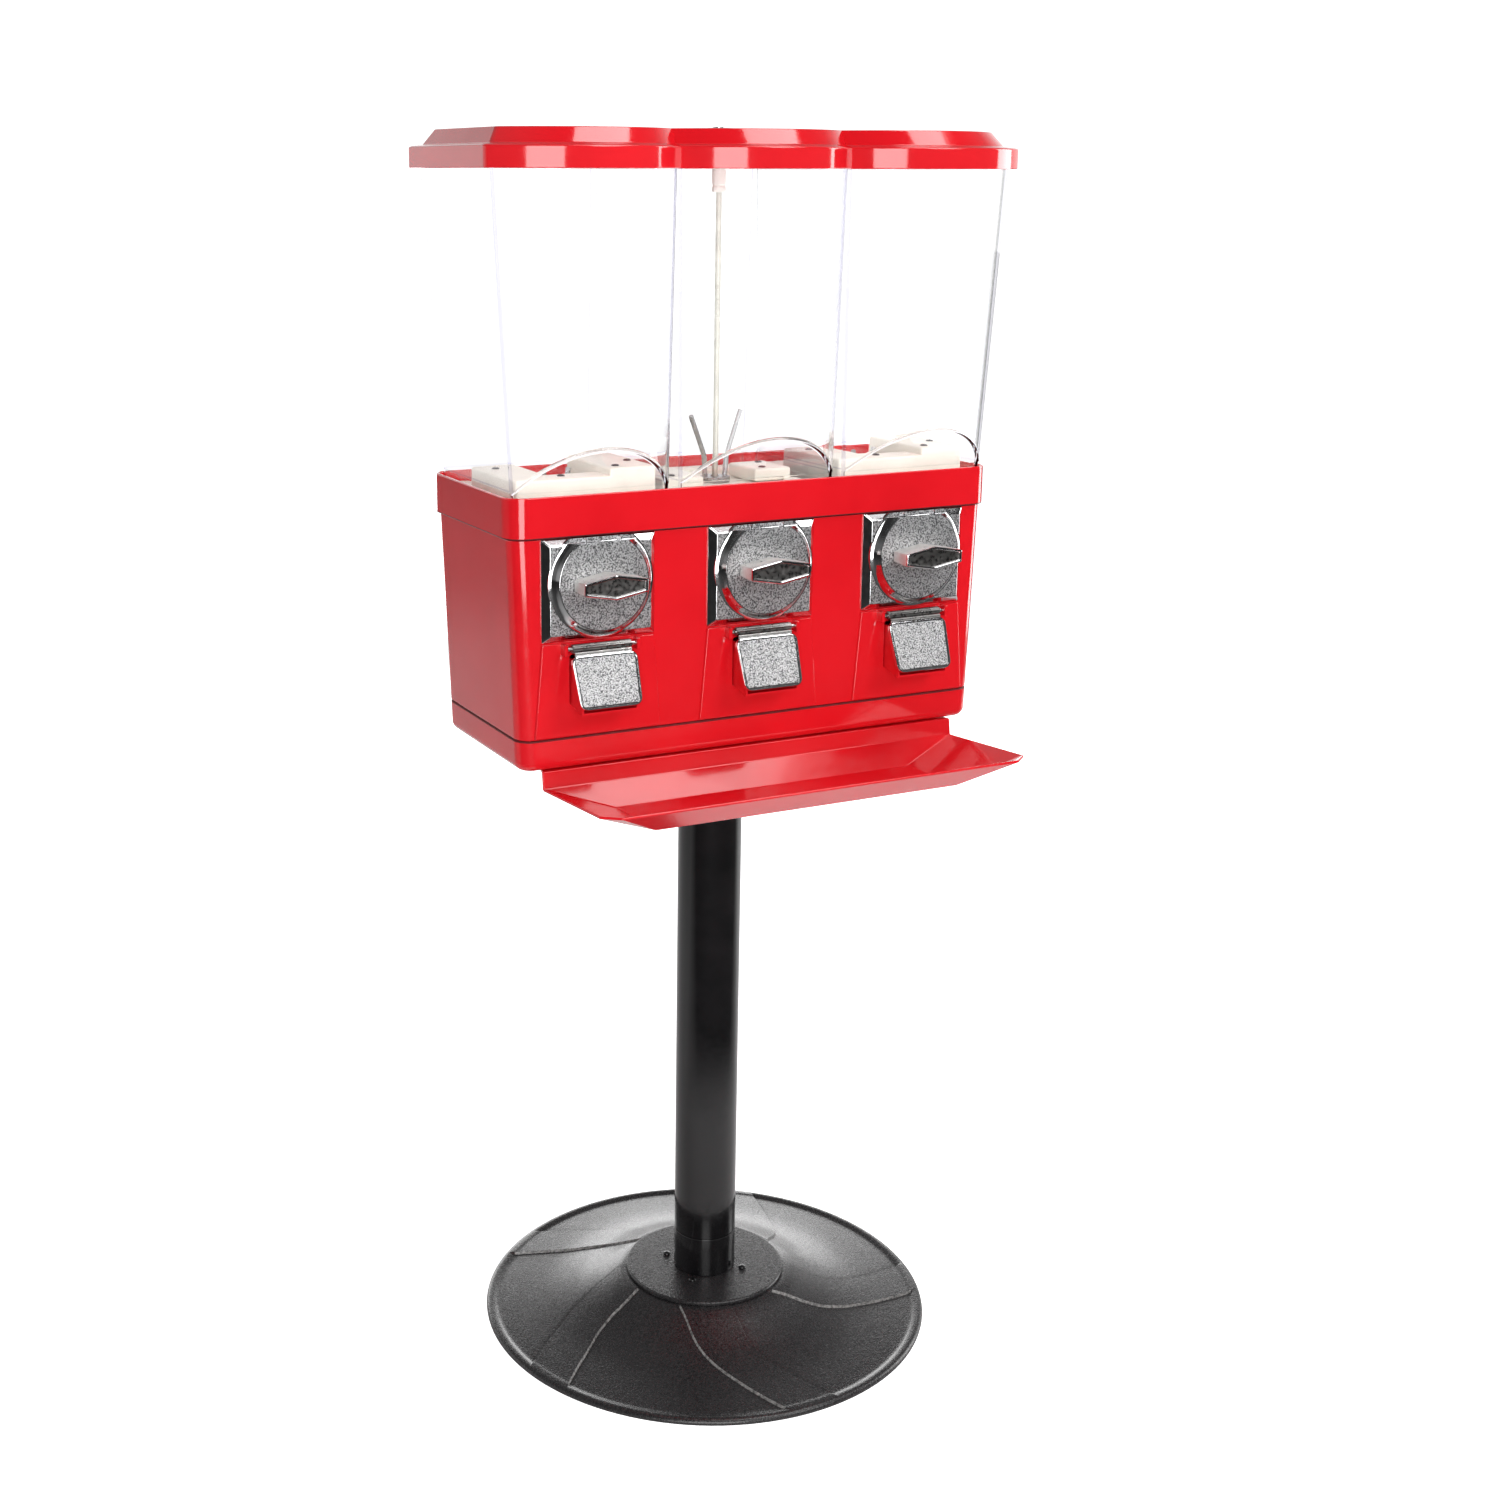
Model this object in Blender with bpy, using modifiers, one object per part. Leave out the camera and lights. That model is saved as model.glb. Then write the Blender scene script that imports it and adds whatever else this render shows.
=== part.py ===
"""Three-bay candy and gumball vending machine on a pedestal stand.

Metres, +Z up. The origin is the centre of the base's underside, and the front faces -Y.
"""
import math

import bmesh
import bpy
from mathutils import Matrix, Vector

MM = 0.001
GAP = 0.3 * MM                     # clearance between touching pieces
CRISP_ANGLE = math.radians(32)

# Driving dimensions: stand
BASE_R = 204.5 * MM
HUB_R = 73 * MM
HUB_Z = 38 * MM                    # top of the hub plate
HUB_T = 4 * MM
PIPE_R = 28.2 * MM
PIPE_WALL = 1.9 * MM
FOOT_TOP = 75.3 * MM
TOP_PLATE_R = 44 * MM
TOP_PLATE_Z = 558 * MM
SPIGOT_R = 25.8 * MM
BOLT_CIRCLE = 37 * MM
BOLT_HOLE_R = 2.4 * MM
SPIGOT_TOP = 110 * MM
ROD_R = 2.6 * MM
ROD_HOLE_R = 3.6 * MM              # clearance for the tie rod in pan and flange

# Driving dimensions: cabinet
PAN_Z = 564 * MM                   # underside of the base pan
LOWER_SEAM = 590.5 * MM
UPPER_SEAM = 753.4 * MM
COLLAR_TOP = 786.4 * MM
HALF_W_LOW = 216 * MM              # cabinet half width at the pan
HALF_W_TOP = 221.4 * MM            # cabinet half width at the upper seam
FRONT_Y = -82 * MM
REAR_LOW = 82 * MM
REAR_TOP = 85 * MM
CORNER_R = 14 * MM
WALL = 3 * MM
COLLAR_PROUD = 3 * MM

# Driving dimensions: canisters and lid
LID_BOTTOM = 1033.7 * MM
LID_BAND_TOP = 1050 * MM
LID_TOP = 1064 * MM
LID_HALF_W = 240 * MM
LID_FRONT = -82.4 * MM
LID_REAR = 82 * MM
CUSP_X = 77 * MM                   # where two bows meet
BOW = 33 * MM                      # how far each front bulges
CAN_TOP = 1045 * MM
CAN_FOOT = 757.3 * MM
CAN_WALL = 2.4 * MM
BOW_FOOT = 788 * MM                # height where the bow starts
BOW_SLOPE = 1.07

# Driving dimensions: mechanism
BAY_X = 147.7 * MM                 # spacing of the mechanisms
SHAFT_Z = 717 * MM
SHAFT_R = 5 * MM
SHAFT_BORE = 5.4 * MM
SHAFT_END = -18 * MM                # rear end of the shaft
PLATE_W = 99 * MM
PLATE_LOW = 670 * MM
PLATE_TOP = 753 * MM
PANEL_Y = -88.5 * MM               # raised face of the plate
BOSS_Y = -95 * MM                  # face of the round boss
BOSS_R = 38 * MM
BOSS_FOOT_R = 43 * MM
CHAMBER_R = 30.4 * MM              # hollow behind the boss
HANDLE_FRONT = -118 * MM
WHEEL_R = 57 * MM
WELL_R = 58.5 * MM
SKIRT_R = 31.5 * MM
HUB_HOLE_R = 33 * MM
FLOOR_Z = 757.2 * MM               # hopper's underside
WHEEL_Z = 760.6 * MM
WHEEL_TOP = 775.5 * MM
PIN_CIRCLE = 28.5 * MM
WHEEL_PINS = 12
GEAR_TEETH = 8
GEAR_TIP_R = 23.5 * MM
GEAR_Y = -28.5 * MM
POCKETS = 6
POCKET_R = 9.7 * MM
POCKET_CIRCLE = 45 * MM
WHEEL_BORE = 4 * MM
HOUSING_FOOT = 776.6 * MM

# Housings on a hopper, in mm from the wheel's axis: left, right, front, rear, height of the top
LOW_HOUSINGS = ((26, 61, -24, 24, 788), (-61, -26, -30, 30, 786))
TALL_HOUSINGS = ((-61, 20.5, -62, -34, 797), (20, 61, -62, 24, 803), (-61, -26, -34.5, 30, 797))

# Knee and tip of an agitator's stem, in mm from the wheel's axis
LONG_STEM = ((12, 3, 797), (30, 12, 834))
SHORT_STEM = ((11, 3, 787), (14, 6, 795))
DROP_R = 10.2 * MM

# Driving dimensions: openings in the cabinet front
WINDOW_HALF = 36 * MM
WINDOW_LOW = 682 * MM
WINDOW_TOP = 749 * MM
MOUTH_HALF = 26 * MM
MOUTH_LOW = 611 * MM
MOUTH_TOP = 659 * MM

# Driving dimensions: flap and chute
DOOR_PIN_Y = -88.1 * MM
DOOR_PIN_Z = 664.3 * MM
DOOR_PIN_R = 1.6 * MM
DOOR_BORE = 2 * MM
DOOR_TILT = math.radians(21)
DOOR_HALF_TOP = 29 * MM
DOOR_HALF_LOW = 27 * MM
DOOR_LENGTH = 50.5 * MM

BAYS = {"left": -BAY_X, "centre": 0.0, "right": BAY_X}


def clear_scene():
    for obj in list(bpy.data.objects):
        bpy.data.objects.remove(obj, do_unlink=True)


def new_collection(name):
    coll = bpy.data.collections.new(name)
    bpy.context.scene.collection.children.link(coll)
    return coll


def material(name, colour, roughness, metallic=0.0):
    mat = bpy.data.materials.new(name)
    mat.use_nodes = True
    shader = mat.node_tree.nodes["Principled BSDF"]
    shader.inputs["Base Color"].default_value = (*colour, 1.0)
    shader.inputs["Roughness"].default_value = roughness
    shader.inputs["Metallic"].default_value = metallic
    mat.diffuse_color = (*colour, 1.0)
    return mat


clear_scene()
PARTS = new_collection("candy_machine")
CUTTERS = new_collection("cutters")
RED = material("red_plastic", (0.80, 0.02, 0.03), 0.25)
CLEAR = material("clear_plastic", (0.93, 0.95, 0.96), 0.05)
CREAM = material("cream_plastic", (0.86, 0.80, 0.68), 0.45)
WHITE = material("white_plastic", (0.85, 0.85, 0.84), 0.40)
CHROME = material("chrome", (0.75, 0.75, 0.76), 0.12, 1.0)
SILVER = material("speckled_silver", (0.62, 0.63, 0.64), 0.40, 1.0)
STEEL = material("steel", (0.55, 0.55, 0.56), 0.30, 1.0)
GALVANISED = material("galvanised", (0.50, 0.51, 0.53), 0.45, 1.0)
BLACK = material("black_gloss", (0.012, 0.012, 0.013), 0.18)
IRON = material("black_cast_iron", (0.02, 0.02, 0.021), 0.50)


def shade(mesh):
    """Smooth shading, with edges over the angle left crisp."""
    mesh.shade_smooth()
    mesh.set_sharp_from_angle(angle=CRISP_ANGLE)


def add_object(name, mesh, mat=None, coll=None):
    if mesh.polygons:
        shade(mesh)
    obj = bpy.data.objects.new(name, mesh)
    (coll or PARTS).objects.link(obj)
    if mat:
        mesh.materials.append(mat)
    return obj


def mesh_from(name, build):
    """A mesh filled in by build(bm), with its faces pointing out."""
    bm = bmesh.new()
    build(bm)
    bmesh.ops.recalc_face_normals(bm, faces=bm.faces)
    mesh = bpy.data.meshes.new(name)
    bm.to_mesh(mesh)
    bm.free()
    return mesh


def box_mesh(name, low, high):
    centre = [(a + b) / 2 for a, b in zip(low, high)]
    size = [b - a for a, b in zip(low, high)]

    def build(bm):
        place = Matrix.Translation(centre) @ Matrix.Diagonal((*size, 1.0))
        bmesh.ops.create_cube(bm, size=1.0, matrix=place)
    return mesh_from(name, build)


def cylinder_mesh(name, start, end, r1, r2=None, sides=24, turn=0.0):
    """A cylinder or cone from start to end."""
    start, end = Vector(start), Vector(end)
    axis = end - start
    spin = axis.to_track_quat("Z", "Y").to_matrix().to_4x4()
    place = Matrix.Translation((start + end) / 2) @ spin @ Matrix.Rotation(turn, 4, "Z")

    def build(bm):
        bmesh.ops.create_cone(bm, cap_ends=True, segments=sides, radius1=r1,
                              radius2=r1 if r2 is None else r2, depth=axis.length, matrix=place)
    return mesh_from(name, build)


def hull_mesh(name, points):
    """The convex solid round the given corners."""
    def build(bm):
        verts = [bm.verts.new(p) for p in points]
        result = bmesh.ops.convex_hull(bm, input=verts)
        inside = [v for v in result["geom_interior"] if isinstance(v, bmesh.types.BMVert)]
        bmesh.ops.delete(bm, geom=inside, context="VERTS")
        bmesh.ops.dissolve_limit(bm, angle_limit=0.001, verts=bm.verts, edges=bm.edges)
    return mesh_from(name, build)


def loft_mesh(name, rings, ring_shape=False):
    """A skin through rings of equal length; ring_shape joins the last ring to the first."""
    def build(bm):
        loops = [[bm.verts.new(p) for p in ring] for ring in rings]
        count = len(rings[0])
        pairs = list(zip(loops, loops[1:]))
        if ring_shape:
            pairs.append((loops[-1], loops[0]))
        else:
            bm.faces.new(loops[0])
            bm.faces.new(loops[-1])
        for lower, upper in pairs:
            for i in range(count):
                j = (i + 1) % count
                bm.faces.new((lower[i], lower[j], upper[j], upper[i]))
    return mesh_from(name, build)


def boolean(obj, operation, mesh, name="tool"):
    """Cut obj with a mesh, or join the mesh to it."""
    tool = add_object(f"{obj.name}_{name}", mesh, coll=CUTTERS)
    tool.hide_render = True
    tool.display_type = "WIRE"
    mod = obj.modifiers.new(name, "BOOLEAN")
    mod.operation = operation
    mod.object = tool
    return tool


def cut(obj, mesh):
    return boolean(obj, "DIFFERENCE", mesh, "cut")


def join(obj, mesh):
    return boolean(obj, "UNION", mesh, "join")


def turned(name, profile, mat, sides=48, closed=True):
    """A profile of (radius, height) turned about Z. It runs down the outer side."""
    mesh = bpy.data.meshes.new(name)
    edges = [(i, i + 1) for i in range(len(profile) - 1)]
    if closed:
        edges.append((len(profile) - 1, 0))
    mesh.from_pydata([(r, 0, z) for r, z in profile], edges, [])
    obj = add_object(name, mesh, mat)
    screw = obj.modifiers.new("turn", "SCREW")
    screw.steps = sides
    screw.render_steps = sides
    screw.use_merge_vertices = True
    screw.merge_threshold = 0.00001
    bpy.context.view_layer.update()
    turned_obj = obj.evaluated_get(bpy.context.evaluated_depsgraph_get())
    solid = bpy.data.meshes.new_from_object(turned_obj)
    obj.modifiers.clear()
    obj.data = solid
    shade(solid)
    return obj


def tube_profile(r_out, r_in, low, high):
    return [(r_out, high), (r_out, low), (r_in, low), (r_in, high)]


def rounded_outline(half_w, front, rear, radius, z, steps=3):
    """A rectangle in plan with rounded corners, anticlockwise from the front right."""
    corners = [(half_w - radius, front + radius, -90), (half_w - radius, rear - radius, 0),
               (radius - half_w, rear - radius, 90), (radius - half_w, front + radius, 180)]
    points = []
    for x, y, first in corners:
        for i in range(steps + 1):
            angle = math.radians(first + 90 * i / steps)
            points.append((x + radius * math.cos(angle), y + radius * math.sin(angle), z))
    return points


def bow_depth(t, sagitta, chord):
    """Depth of a circular bow at t from -1 to 1 along its chord."""
    half = chord / 2
    radius = (half * half + sagitta * sagitta) / (2 * sagitta)
    return math.sqrt(radius * radius - (t * half) ** 2) - (radius - sagitta)


# ---------------------------------------------------------------- stand

def make_cast_base():
    """Bell-shaped cast foot, hollow underneath."""
    top = HUB_Z - HUB_T - GAP
    bell = [(HUB_R, 0.0), (82, 3.0), (100, 11.5), (120, 19.2), (150, 25.7), (194, 30.0)]
    outer = [(8 * MM, top), (HUB_R, top)]
    outer += [(r * MM, top - drop * MM) for r, drop in bell[1:]]
    outer += [(198 * MM, 5.5 * MM), (202 * MM, 5.5 * MM), (BASE_R, 3.5 * MM), (BASE_R, 0.0)]
    under = [(196 * MM, 0.0), (190 * MM, 0.8 * MM)]
    under += [((r - 2) * MM, max(top - (drop + 4.6) * MM, 0.8 * MM)) for r, drop in reversed(bell[1:-1])]
    under += [(HUB_R - 3 * MM, top - 4.6 * MM), (8 * MM, top - 4.6 * MM)]
    base = turned("cast_base", outer + under, IRON, sides=44)
    for x, y in bolt_places():
        cut(base, cylinder_mesh("hole", (x, y, top - 9 * MM), (x, y, top + 3 * MM), BOLT_HOLE_R, sides=8))


def bolt_places():
    angles = [math.radians(45 + 90 * i) for i in range(4)]
    return [(BOLT_CIRCLE * math.cos(a), BOLT_CIRCLE * math.sin(a)) for a in angles]


def make_hub():
    """Round cover plate of the foot, with the spigot that holds the pipe, and its four bolts."""
    low = HUB_Z - HUB_T
    inner = SPIGOT_R - 4 * MM
    profile = [(SPIGOT_R, SPIGOT_TOP), (SPIGOT_R, HUB_Z), (HUB_R - 1.5 * MM, HUB_Z),
               (HUB_R, HUB_Z - 1.5 * MM), (HUB_R, low), (inner, low), (inner, SPIGOT_TOP)]
    hub = turned("hub_plate", profile, IRON, sides=36)
    for i, (x, y) in enumerate(bolt_places()):
        cut(hub, cylinder_mesh("hole", (x, y, low - MM), (x, y, HUB_Z + MM), BOLT_HOLE_R, sides=8))
        head = HUB_Z + GAP
        bolt = turned(f"hub_bolt_{i + 1}", [(0, head + 2 * MM), (2.6 * MM, head + 2 * MM),
                      (3.4 * MM, head + 1.2 * MM), (3.4 * MM, head), (2 * MM, head),
                      (2 * MM, 27 * MM), (0, 27 * MM)], BLACK, sides=8, closed=False)
        bolt.location = (x, y, 0)


def make_pipe():
    inner = PIPE_R - PIPE_WALL
    turned("stand_foot", tube_profile(PIPE_R + 0.2 * MM, inner, HUB_Z + GAP, FOOT_TOP), BLACK, sides=32)
    turned("stand_pipe", tube_profile(PIPE_R, inner, FOOT_TOP + GAP, TOP_PLATE_Z - GAP), BLACK, sides=32)


def make_top_plate():
    """Flange under the cabinet, with a spigot in the pipe and a hole for the tie rod."""
    high = PAN_Z - GAP
    low = TOP_PLATE_Z
    profile = [(ROD_HOLE_R, high), (TOP_PLATE_R, high), (TOP_PLATE_R, low), (SPIGOT_R, low),
               (SPIGOT_R, low - 16 * MM), (20 * MM, low - 16 * MM), (20 * MM, low), (ROD_HOLE_R, low)]
    turned("stand_top_plate", profile, BLACK, sides=28)


# ---------------------------------------------------------------- cabinet

def cabinet_half_w(z):
    part = (z - LOWER_SEAM) / (UPPER_SEAM - LOWER_SEAM)
    return HALF_W_LOW + (HALF_W_TOP - HALF_W_LOW) * part


def cabinet_rear(z):
    part = (z - LOWER_SEAM) / (UPPER_SEAM - LOWER_SEAM)
    return REAR_LOW + (REAR_TOP - REAR_LOW) * part


def cabinet_ring(z, inset=0.0):
    return rounded_outline(cabinet_half_w(z) - inset, FRONT_Y + inset, cabinet_rear(z) - inset,
                           CORNER_R - inset, z)


def make_base_pan():
    high = LOWER_SEAM - GAP
    rings = [cabinet_ring(PAN_Z, 6 * MM), cabinet_ring(PAN_Z + 2 * MM, 2 * MM),
             cabinet_ring(PAN_Z + 6 * MM), cabinet_ring(high), cabinet_ring(high, WALL),
             cabinet_ring(PAN_Z + WALL, WALL + 4 * MM)]
    pan = add_object("base_pan", loft_mesh("base_pan", rings), RED)
    cut(pan, cylinder_mesh("hole", (0, 0, PAN_Z - MM), (0, 0, PAN_Z + 9 * MM), ROD_HOLE_R, sides=16))


def make_coin_pan():
    """Loose cash tray on the pan's floor, with a well that clears the tie rod."""
    low, high = PAN_Z + WALL + GAP, 586 * MM
    wall = 1.6 * MM
    half_w, front, rear = 202 * MM, -70 * MM, 70 * MM
    rings = [rounded_outline(half_w, front, rear, 8 * MM, low),
             rounded_outline(half_w, front, rear, 8 * MM, high),
             rounded_outline(half_w - wall, front + wall, rear - wall, 6.4 * MM, high),
             rounded_outline(half_w - wall, front + wall, rear - wall, 6.4 * MM, low + wall)]
    pan = add_object("coin_pan", loft_mesh("coin_pan", rings), GALVANISED)
    join(pan, cylinder_mesh("post", (0, 0, low), (0, 0, high), 7 * MM, sides=16))
    cut(pan, cylinder_mesh("hole", (0, 0, low - MM), (0, 0, high + MM), 4.5 * MM, sides=16))


def make_body_shell():
    """Red cabinet sleeve with the three mechanism windows and chute mouths."""
    low, high = LOWER_SEAM, UPPER_SEAM - GAP
    rings = [cabinet_ring(low), cabinet_ring(high), cabinet_ring(high, WALL), cabinet_ring(low, WALL)]
    body = add_object("body_shell", loft_mesh("body_shell", rings, ring_shape=True), RED)
    proud = FRONT_Y - 2 * MM
    back = FRONT_Y + MM
    for x in BAYS.values():
        panel = [(x + sx * half, y, z) for sx in (-1, 1) for y in (proud, back)
                 for half, z in ((49 * MM, PLATE_LOW - 2 * MM), (55 * MM, LOWER_SEAM + 2 * MM))]
        join(body, hull_mesh("panel", panel))
        for side in (-1, 1):
            near, far = x + side * 30.2 * MM, x + side * 33.5 * MM
            lug = box_mesh("lug", (min(near, far), DOOR_PIN_Y - 4 * MM, DOOR_PIN_Z - 5 * MM),
                           (max(near, far), FRONT_Y + 0.5 * MM, DOOR_PIN_Z + 4.5 * MM))
            join(body, lug)
        cut(body, cylinder_mesh("pin", (x - 34.5 * MM, DOOR_PIN_Y, DOOR_PIN_Z),
                                (x + 34.5 * MM, DOOR_PIN_Y, DOOR_PIN_Z), DOOR_BORE, sides=12))
        for name, half, bottom, top in (("window", WINDOW_HALF, WINDOW_LOW, WINDOW_TOP),
                                        ("mouth", MOUTH_HALF, MOUTH_LOW, MOUTH_TOP)):
            cut(body, box_mesh(name, (x - half, -90 * MM, bottom), (x + half, -76 * MM, top)))


def make_collar():
    """Red tray that the canisters stand in, proud of the cabinet, with drive and drop holes."""
    def ring(z, inset):
        grow = COLLAR_PROUD - inset
        return rounded_outline(HALF_W_TOP + grow, FRONT_Y - grow, REAR_TOP + grow,
                               CORNER_R + grow, z)
    low, floor, high = UPPER_SEAM, CAN_FOOT - GAP, COLLAR_TOP
    rings = [ring(low, 0), ring(high, 0), ring(high, 3.2 * MM), ring(floor, 3.6 * MM)]
    collar = add_object("collar", loft_mesh("collar", rings), RED)
    for x in BAYS.values():
        cut(collar, cylinder_mesh("hub", (x, 0, low - MM), (x, 0, floor + 2 * MM), HUB_HOLE_R, sides=24))
        cut(collar, cylinder_mesh("drop", (x + POCKET_CIRCLE, 0, low - MM),
                                  (x + POCKET_CIRCLE, 0, floor + 2 * MM), DROP_R, sides=12))


# ---------------------------------------------------------------- canisters and lid

def canister_span(bay, z):
    """Left and right edges of a canister at height z."""
    part = (z - BOW_FOOT) / (CAN_TOP - BOW_FOOT)
    outer = (218.5 + 15.5 * part) * MM
    inner_side = (81.5 - 3.9 * part) * MM
    middle = (71.5 + 4.9 * part) * MM
    if bay == "centre":
        return -middle, middle
    return (-outer, -inner_side) if bay == "left" else (inner_side, outer)


def canister_front(z):
    part = max(0.0, (z - BOW_FOOT) / (CAN_TOP - BOW_FOOT))
    return (-75 - 4 * part) * MM


def canister_ring(bay, level, inset, columns=12):
    """Plan outline at one of four levels: foot, shoulder, end of the sloping face, top."""
    points = []
    for i in range(columns + 1):
        t = 1 - 2 * i / columns
        full = bow_depth(t, BOW, 150 * MM)
        rise = max(full * BOW_SLOPE, 1.5 * MM)
        z = (CAN_FOOT, BOW_FOOT, BOW_FOOT + rise, CAN_TOP)[level]
        left, right = canister_span(bay, max(z, BOW_FOOT))
        x = (left + right) / 2 + t * ((right - left) / 2 - inset)
        forward = (0, 0, full, full)[level]
        points.append((x, canister_front(z) - forward + inset, z))
    z = (CAN_FOOT, BOW_FOOT, BOW_FOOT + 1.5 * MM, CAN_TOP)[level]
    left, right = canister_span(bay, max(z, BOW_FOOT))
    rear = 78 * MM
    points += [(left + inset, rear - inset, z), (right - inset, rear - inset, z)]
    return points


def make_canister(bay):
    outer = [canister_ring(bay, level, 0.0) for level in range(4)]
    inner = [canister_ring(bay, level, CAN_WALL) for level in range(4)]
    rings = outer + inner[::-1]
    add_object(f"canister_{bay}", loft_mesh("canister", rings, ring_shape=True), CLEAR)


def lid_ring(z, inset, columns=8):
    """Plan outline of the lid: three bows in front, square sides and rear."""
    bounds = [LID_HALF_W - inset, CUSP_X, -CUSP_X, inset - LID_HALF_W]
    points = []
    for right, left in zip(bounds, bounds[1:]):
        for i in range(columns + (left == bounds[-1])):
            t = 1 - 2 * i / columns
            x = (left + right) / 2 + t * (right - left) / 2
            points.append((x, LID_FRONT + inset - bow_depth(t, BOW, 155 * MM), z))
    points += [(bounds[-1], LID_REAR - inset, z), (bounds[0], LID_REAR - inset, z)]
    return points


def make_lid():
    wall = 2.3 * MM
    ledge, crown = 8.7 * MM, 16.7 * MM
    rings = [lid_ring(LID_BOTTOM, 0), lid_ring(LID_BAND_TOP, 0), lid_ring(LID_BAND_TOP + 2 * MM, ledge),
             lid_ring(LID_TOP, crown)]
    under = [lid_ring(LID_TOP - wall, crown + wall), lid_ring(LID_BAND_TOP + 2 * MM - wall, ledge + wall),
             lid_ring(LID_BAND_TOP - wall, wall), lid_ring(LID_BOTTOM, wall)]

    def build(bm):
        loops = [[bm.verts.new(p) for p in ring] for ring in rings + under]
        count = len(loops[0])
        order = list(range(len(loops)))
        for a, b in zip(order, order[1:] + order[:1]):
            if (a, b) == (len(rings) - 1, len(rings)):
                continue
            for i in range(count):
                j = (i + 1) % count
                bm.faces.new((loops[a][i], loops[a][j], loops[b][j], loops[b][i]))
        bm.faces.new(loops[len(rings) - 1])
        bm.faces.new(loops[len(rings)])
    lid = add_object("lid", mesh_from("lid", build), RED)
    cut(lid, cylinder_mesh("hole", (0, 0, LID_TOP - 9 * MM), (0, 0, LID_TOP + 3 * MM), 8.6 * MM, sides=24))


def make_lock():
    seat = LID_TOP + GAP
    barrel = [(5.3 * MM, seat + 1.8 * MM), (10 * MM, seat + 1.8 * MM), (11 * MM, seat + 0.9 * MM),
              (11 * MM, seat), (8 * MM, seat), (8 * MM, 1038 * MM), (5.3 * MM, 1038 * MM)]
    turned("lock_body", barrel, CHROME, sides=20)
    top = 1067 * MM
    plug = turned("lock_plug", [(0, top), (4.4 * MM, top), (5 * MM, top - 0.6 * MM), (5 * MM, 1037.7 * MM),
                                (0, 1037.7 * MM)], STEEL, sides=16, closed=False)
    cut(plug, box_mesh("key", (-3 * MM, -0.6 * MM, top - 7 * MM), (3 * MM, 0.6 * MM, top + MM)))


def make_tie_rod():
    """Rod that clamps lid, cabinet and stand, with its top socket and bottom nut."""
    turned("centre_rod", [(0, 1032 * MM), (ROD_R, 1032 * MM), (ROD_R, 548 * MM), (0, 548 * MM)],
           STEEL, sides=12, closed=False)
    turned("rod_socket", tube_profile(6 * MM, 2.9 * MM, 1015 * MM, 1037.2 * MM), WHITE, sides=16)
    nut = cylinder_mesh("rod_nut", (0, 0, 551 * MM), (0, 0, TOP_PLATE_Z - GAP), 6.5 * MM, sides=6)
    rod_nut = add_object("rod_nut", nut, STEEL)
    cut(rod_nut, cylinder_mesh("hole", (0, 0, 545 * MM), (0, 0, 565 * MM), 2.95 * MM, sides=12))


# ---------------------------------------------------------------- one bay

def make_hopper(bay, x):
    """Cream bed with the wheel's round well, drive and drop holes and its raised housings."""
    low, high = FLOOR_Z + 0.1 * MM, 779 * MM
    centre = sum(canister_span(bay, BOW_FOOT)) / 2
    half = 65 * MM
    rings = [rounded_outline(half, -70 * MM, 72 * MM, 6 * MM, z) for z in (low, high)]
    rings = [[(px + centre, py, pz) for px, py, pz in ring] for ring in rings]
    hopper = add_object(f"hopper_{bay}", loft_mesh("hopper", rings), CREAM)
    cut(hopper, cylinder_mesh("well", (x, 0, low + 3 * MM), (x, 0, high + MM), WELL_R, sides=30))
    cut(hopper, cylinder_mesh("hub", (x, 0, low - MM), (x, 0, low + 5 * MM), HUB_HOLE_R, sides=24))
    cut(hopper, cylinder_mesh("drop", (x + POCKET_CIRCLE, 0, low - MM),
                              (x + POCKET_CIRCLE, 0, low + 5 * MM), DROP_R, sides=12))
    for left, right, front, rear, top in LOW_HOUSINGS if bay == "centre" else TALL_HOUSINGS:
        join(hopper, box_mesh("housing", (x + left * MM, front * MM, HOUSING_FOOT),
                              (x + right * MM, rear * MM, top * MM)))


def make_wheel(bay, x):
    """Dispensing wheel: pockets through the rim, and a skirt with drive pins below."""
    skirt_low, pin_low = 745 * MM, 732 * MM
    mesh = cylinder_mesh("candy_wheel", (0, 0, WHEEL_Z), (0, 0, WHEEL_TOP), WHEEL_R, sides=30)
    wheel = add_object(f"candy_wheel_{bay}", mesh, CREAM)
    wheel.location = (x, 0, 0)
    tools = [join(wheel, cylinder_mesh("skirt", (0, 0, skirt_low), (0, 0, WHEEL_Z + MM), SKIRT_R, sides=20))]
    for i in range(WHEEL_PINS):
        angle = math.radians(-90 + 360 * i / WHEEL_PINS)
        px, py = PIN_CIRCLE * math.cos(angle), PIN_CIRCLE * math.sin(angle)
        pin = cylinder_mesh("pin", (px, py, pin_low), (px, py, skirt_low + 2 * MM), 2.3 * MM, sides=6)
        tools.append(join(wheel, pin))
    for i in range(POCKETS):
        angle = math.radians(360 * i / POCKETS)
        px, py = POCKET_CIRCLE * math.cos(angle), POCKET_CIRCLE * math.sin(angle)
        tools.append(cut(wheel, cylinder_mesh("pocket", (px, py, WHEEL_Z - 2 * MM),
                                              (px, py, WHEEL_TOP + MM), POCKET_R, sides=12)))
    tools.append(cut(wheel, cylinder_mesh("bore", (0, 0, skirt_low - MM), (0, 0, WHEEL_TOP + MM),
                                          WHEEL_BORE, sides=12)))
    for tool in tools:
        tool.parent = wheel


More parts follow.
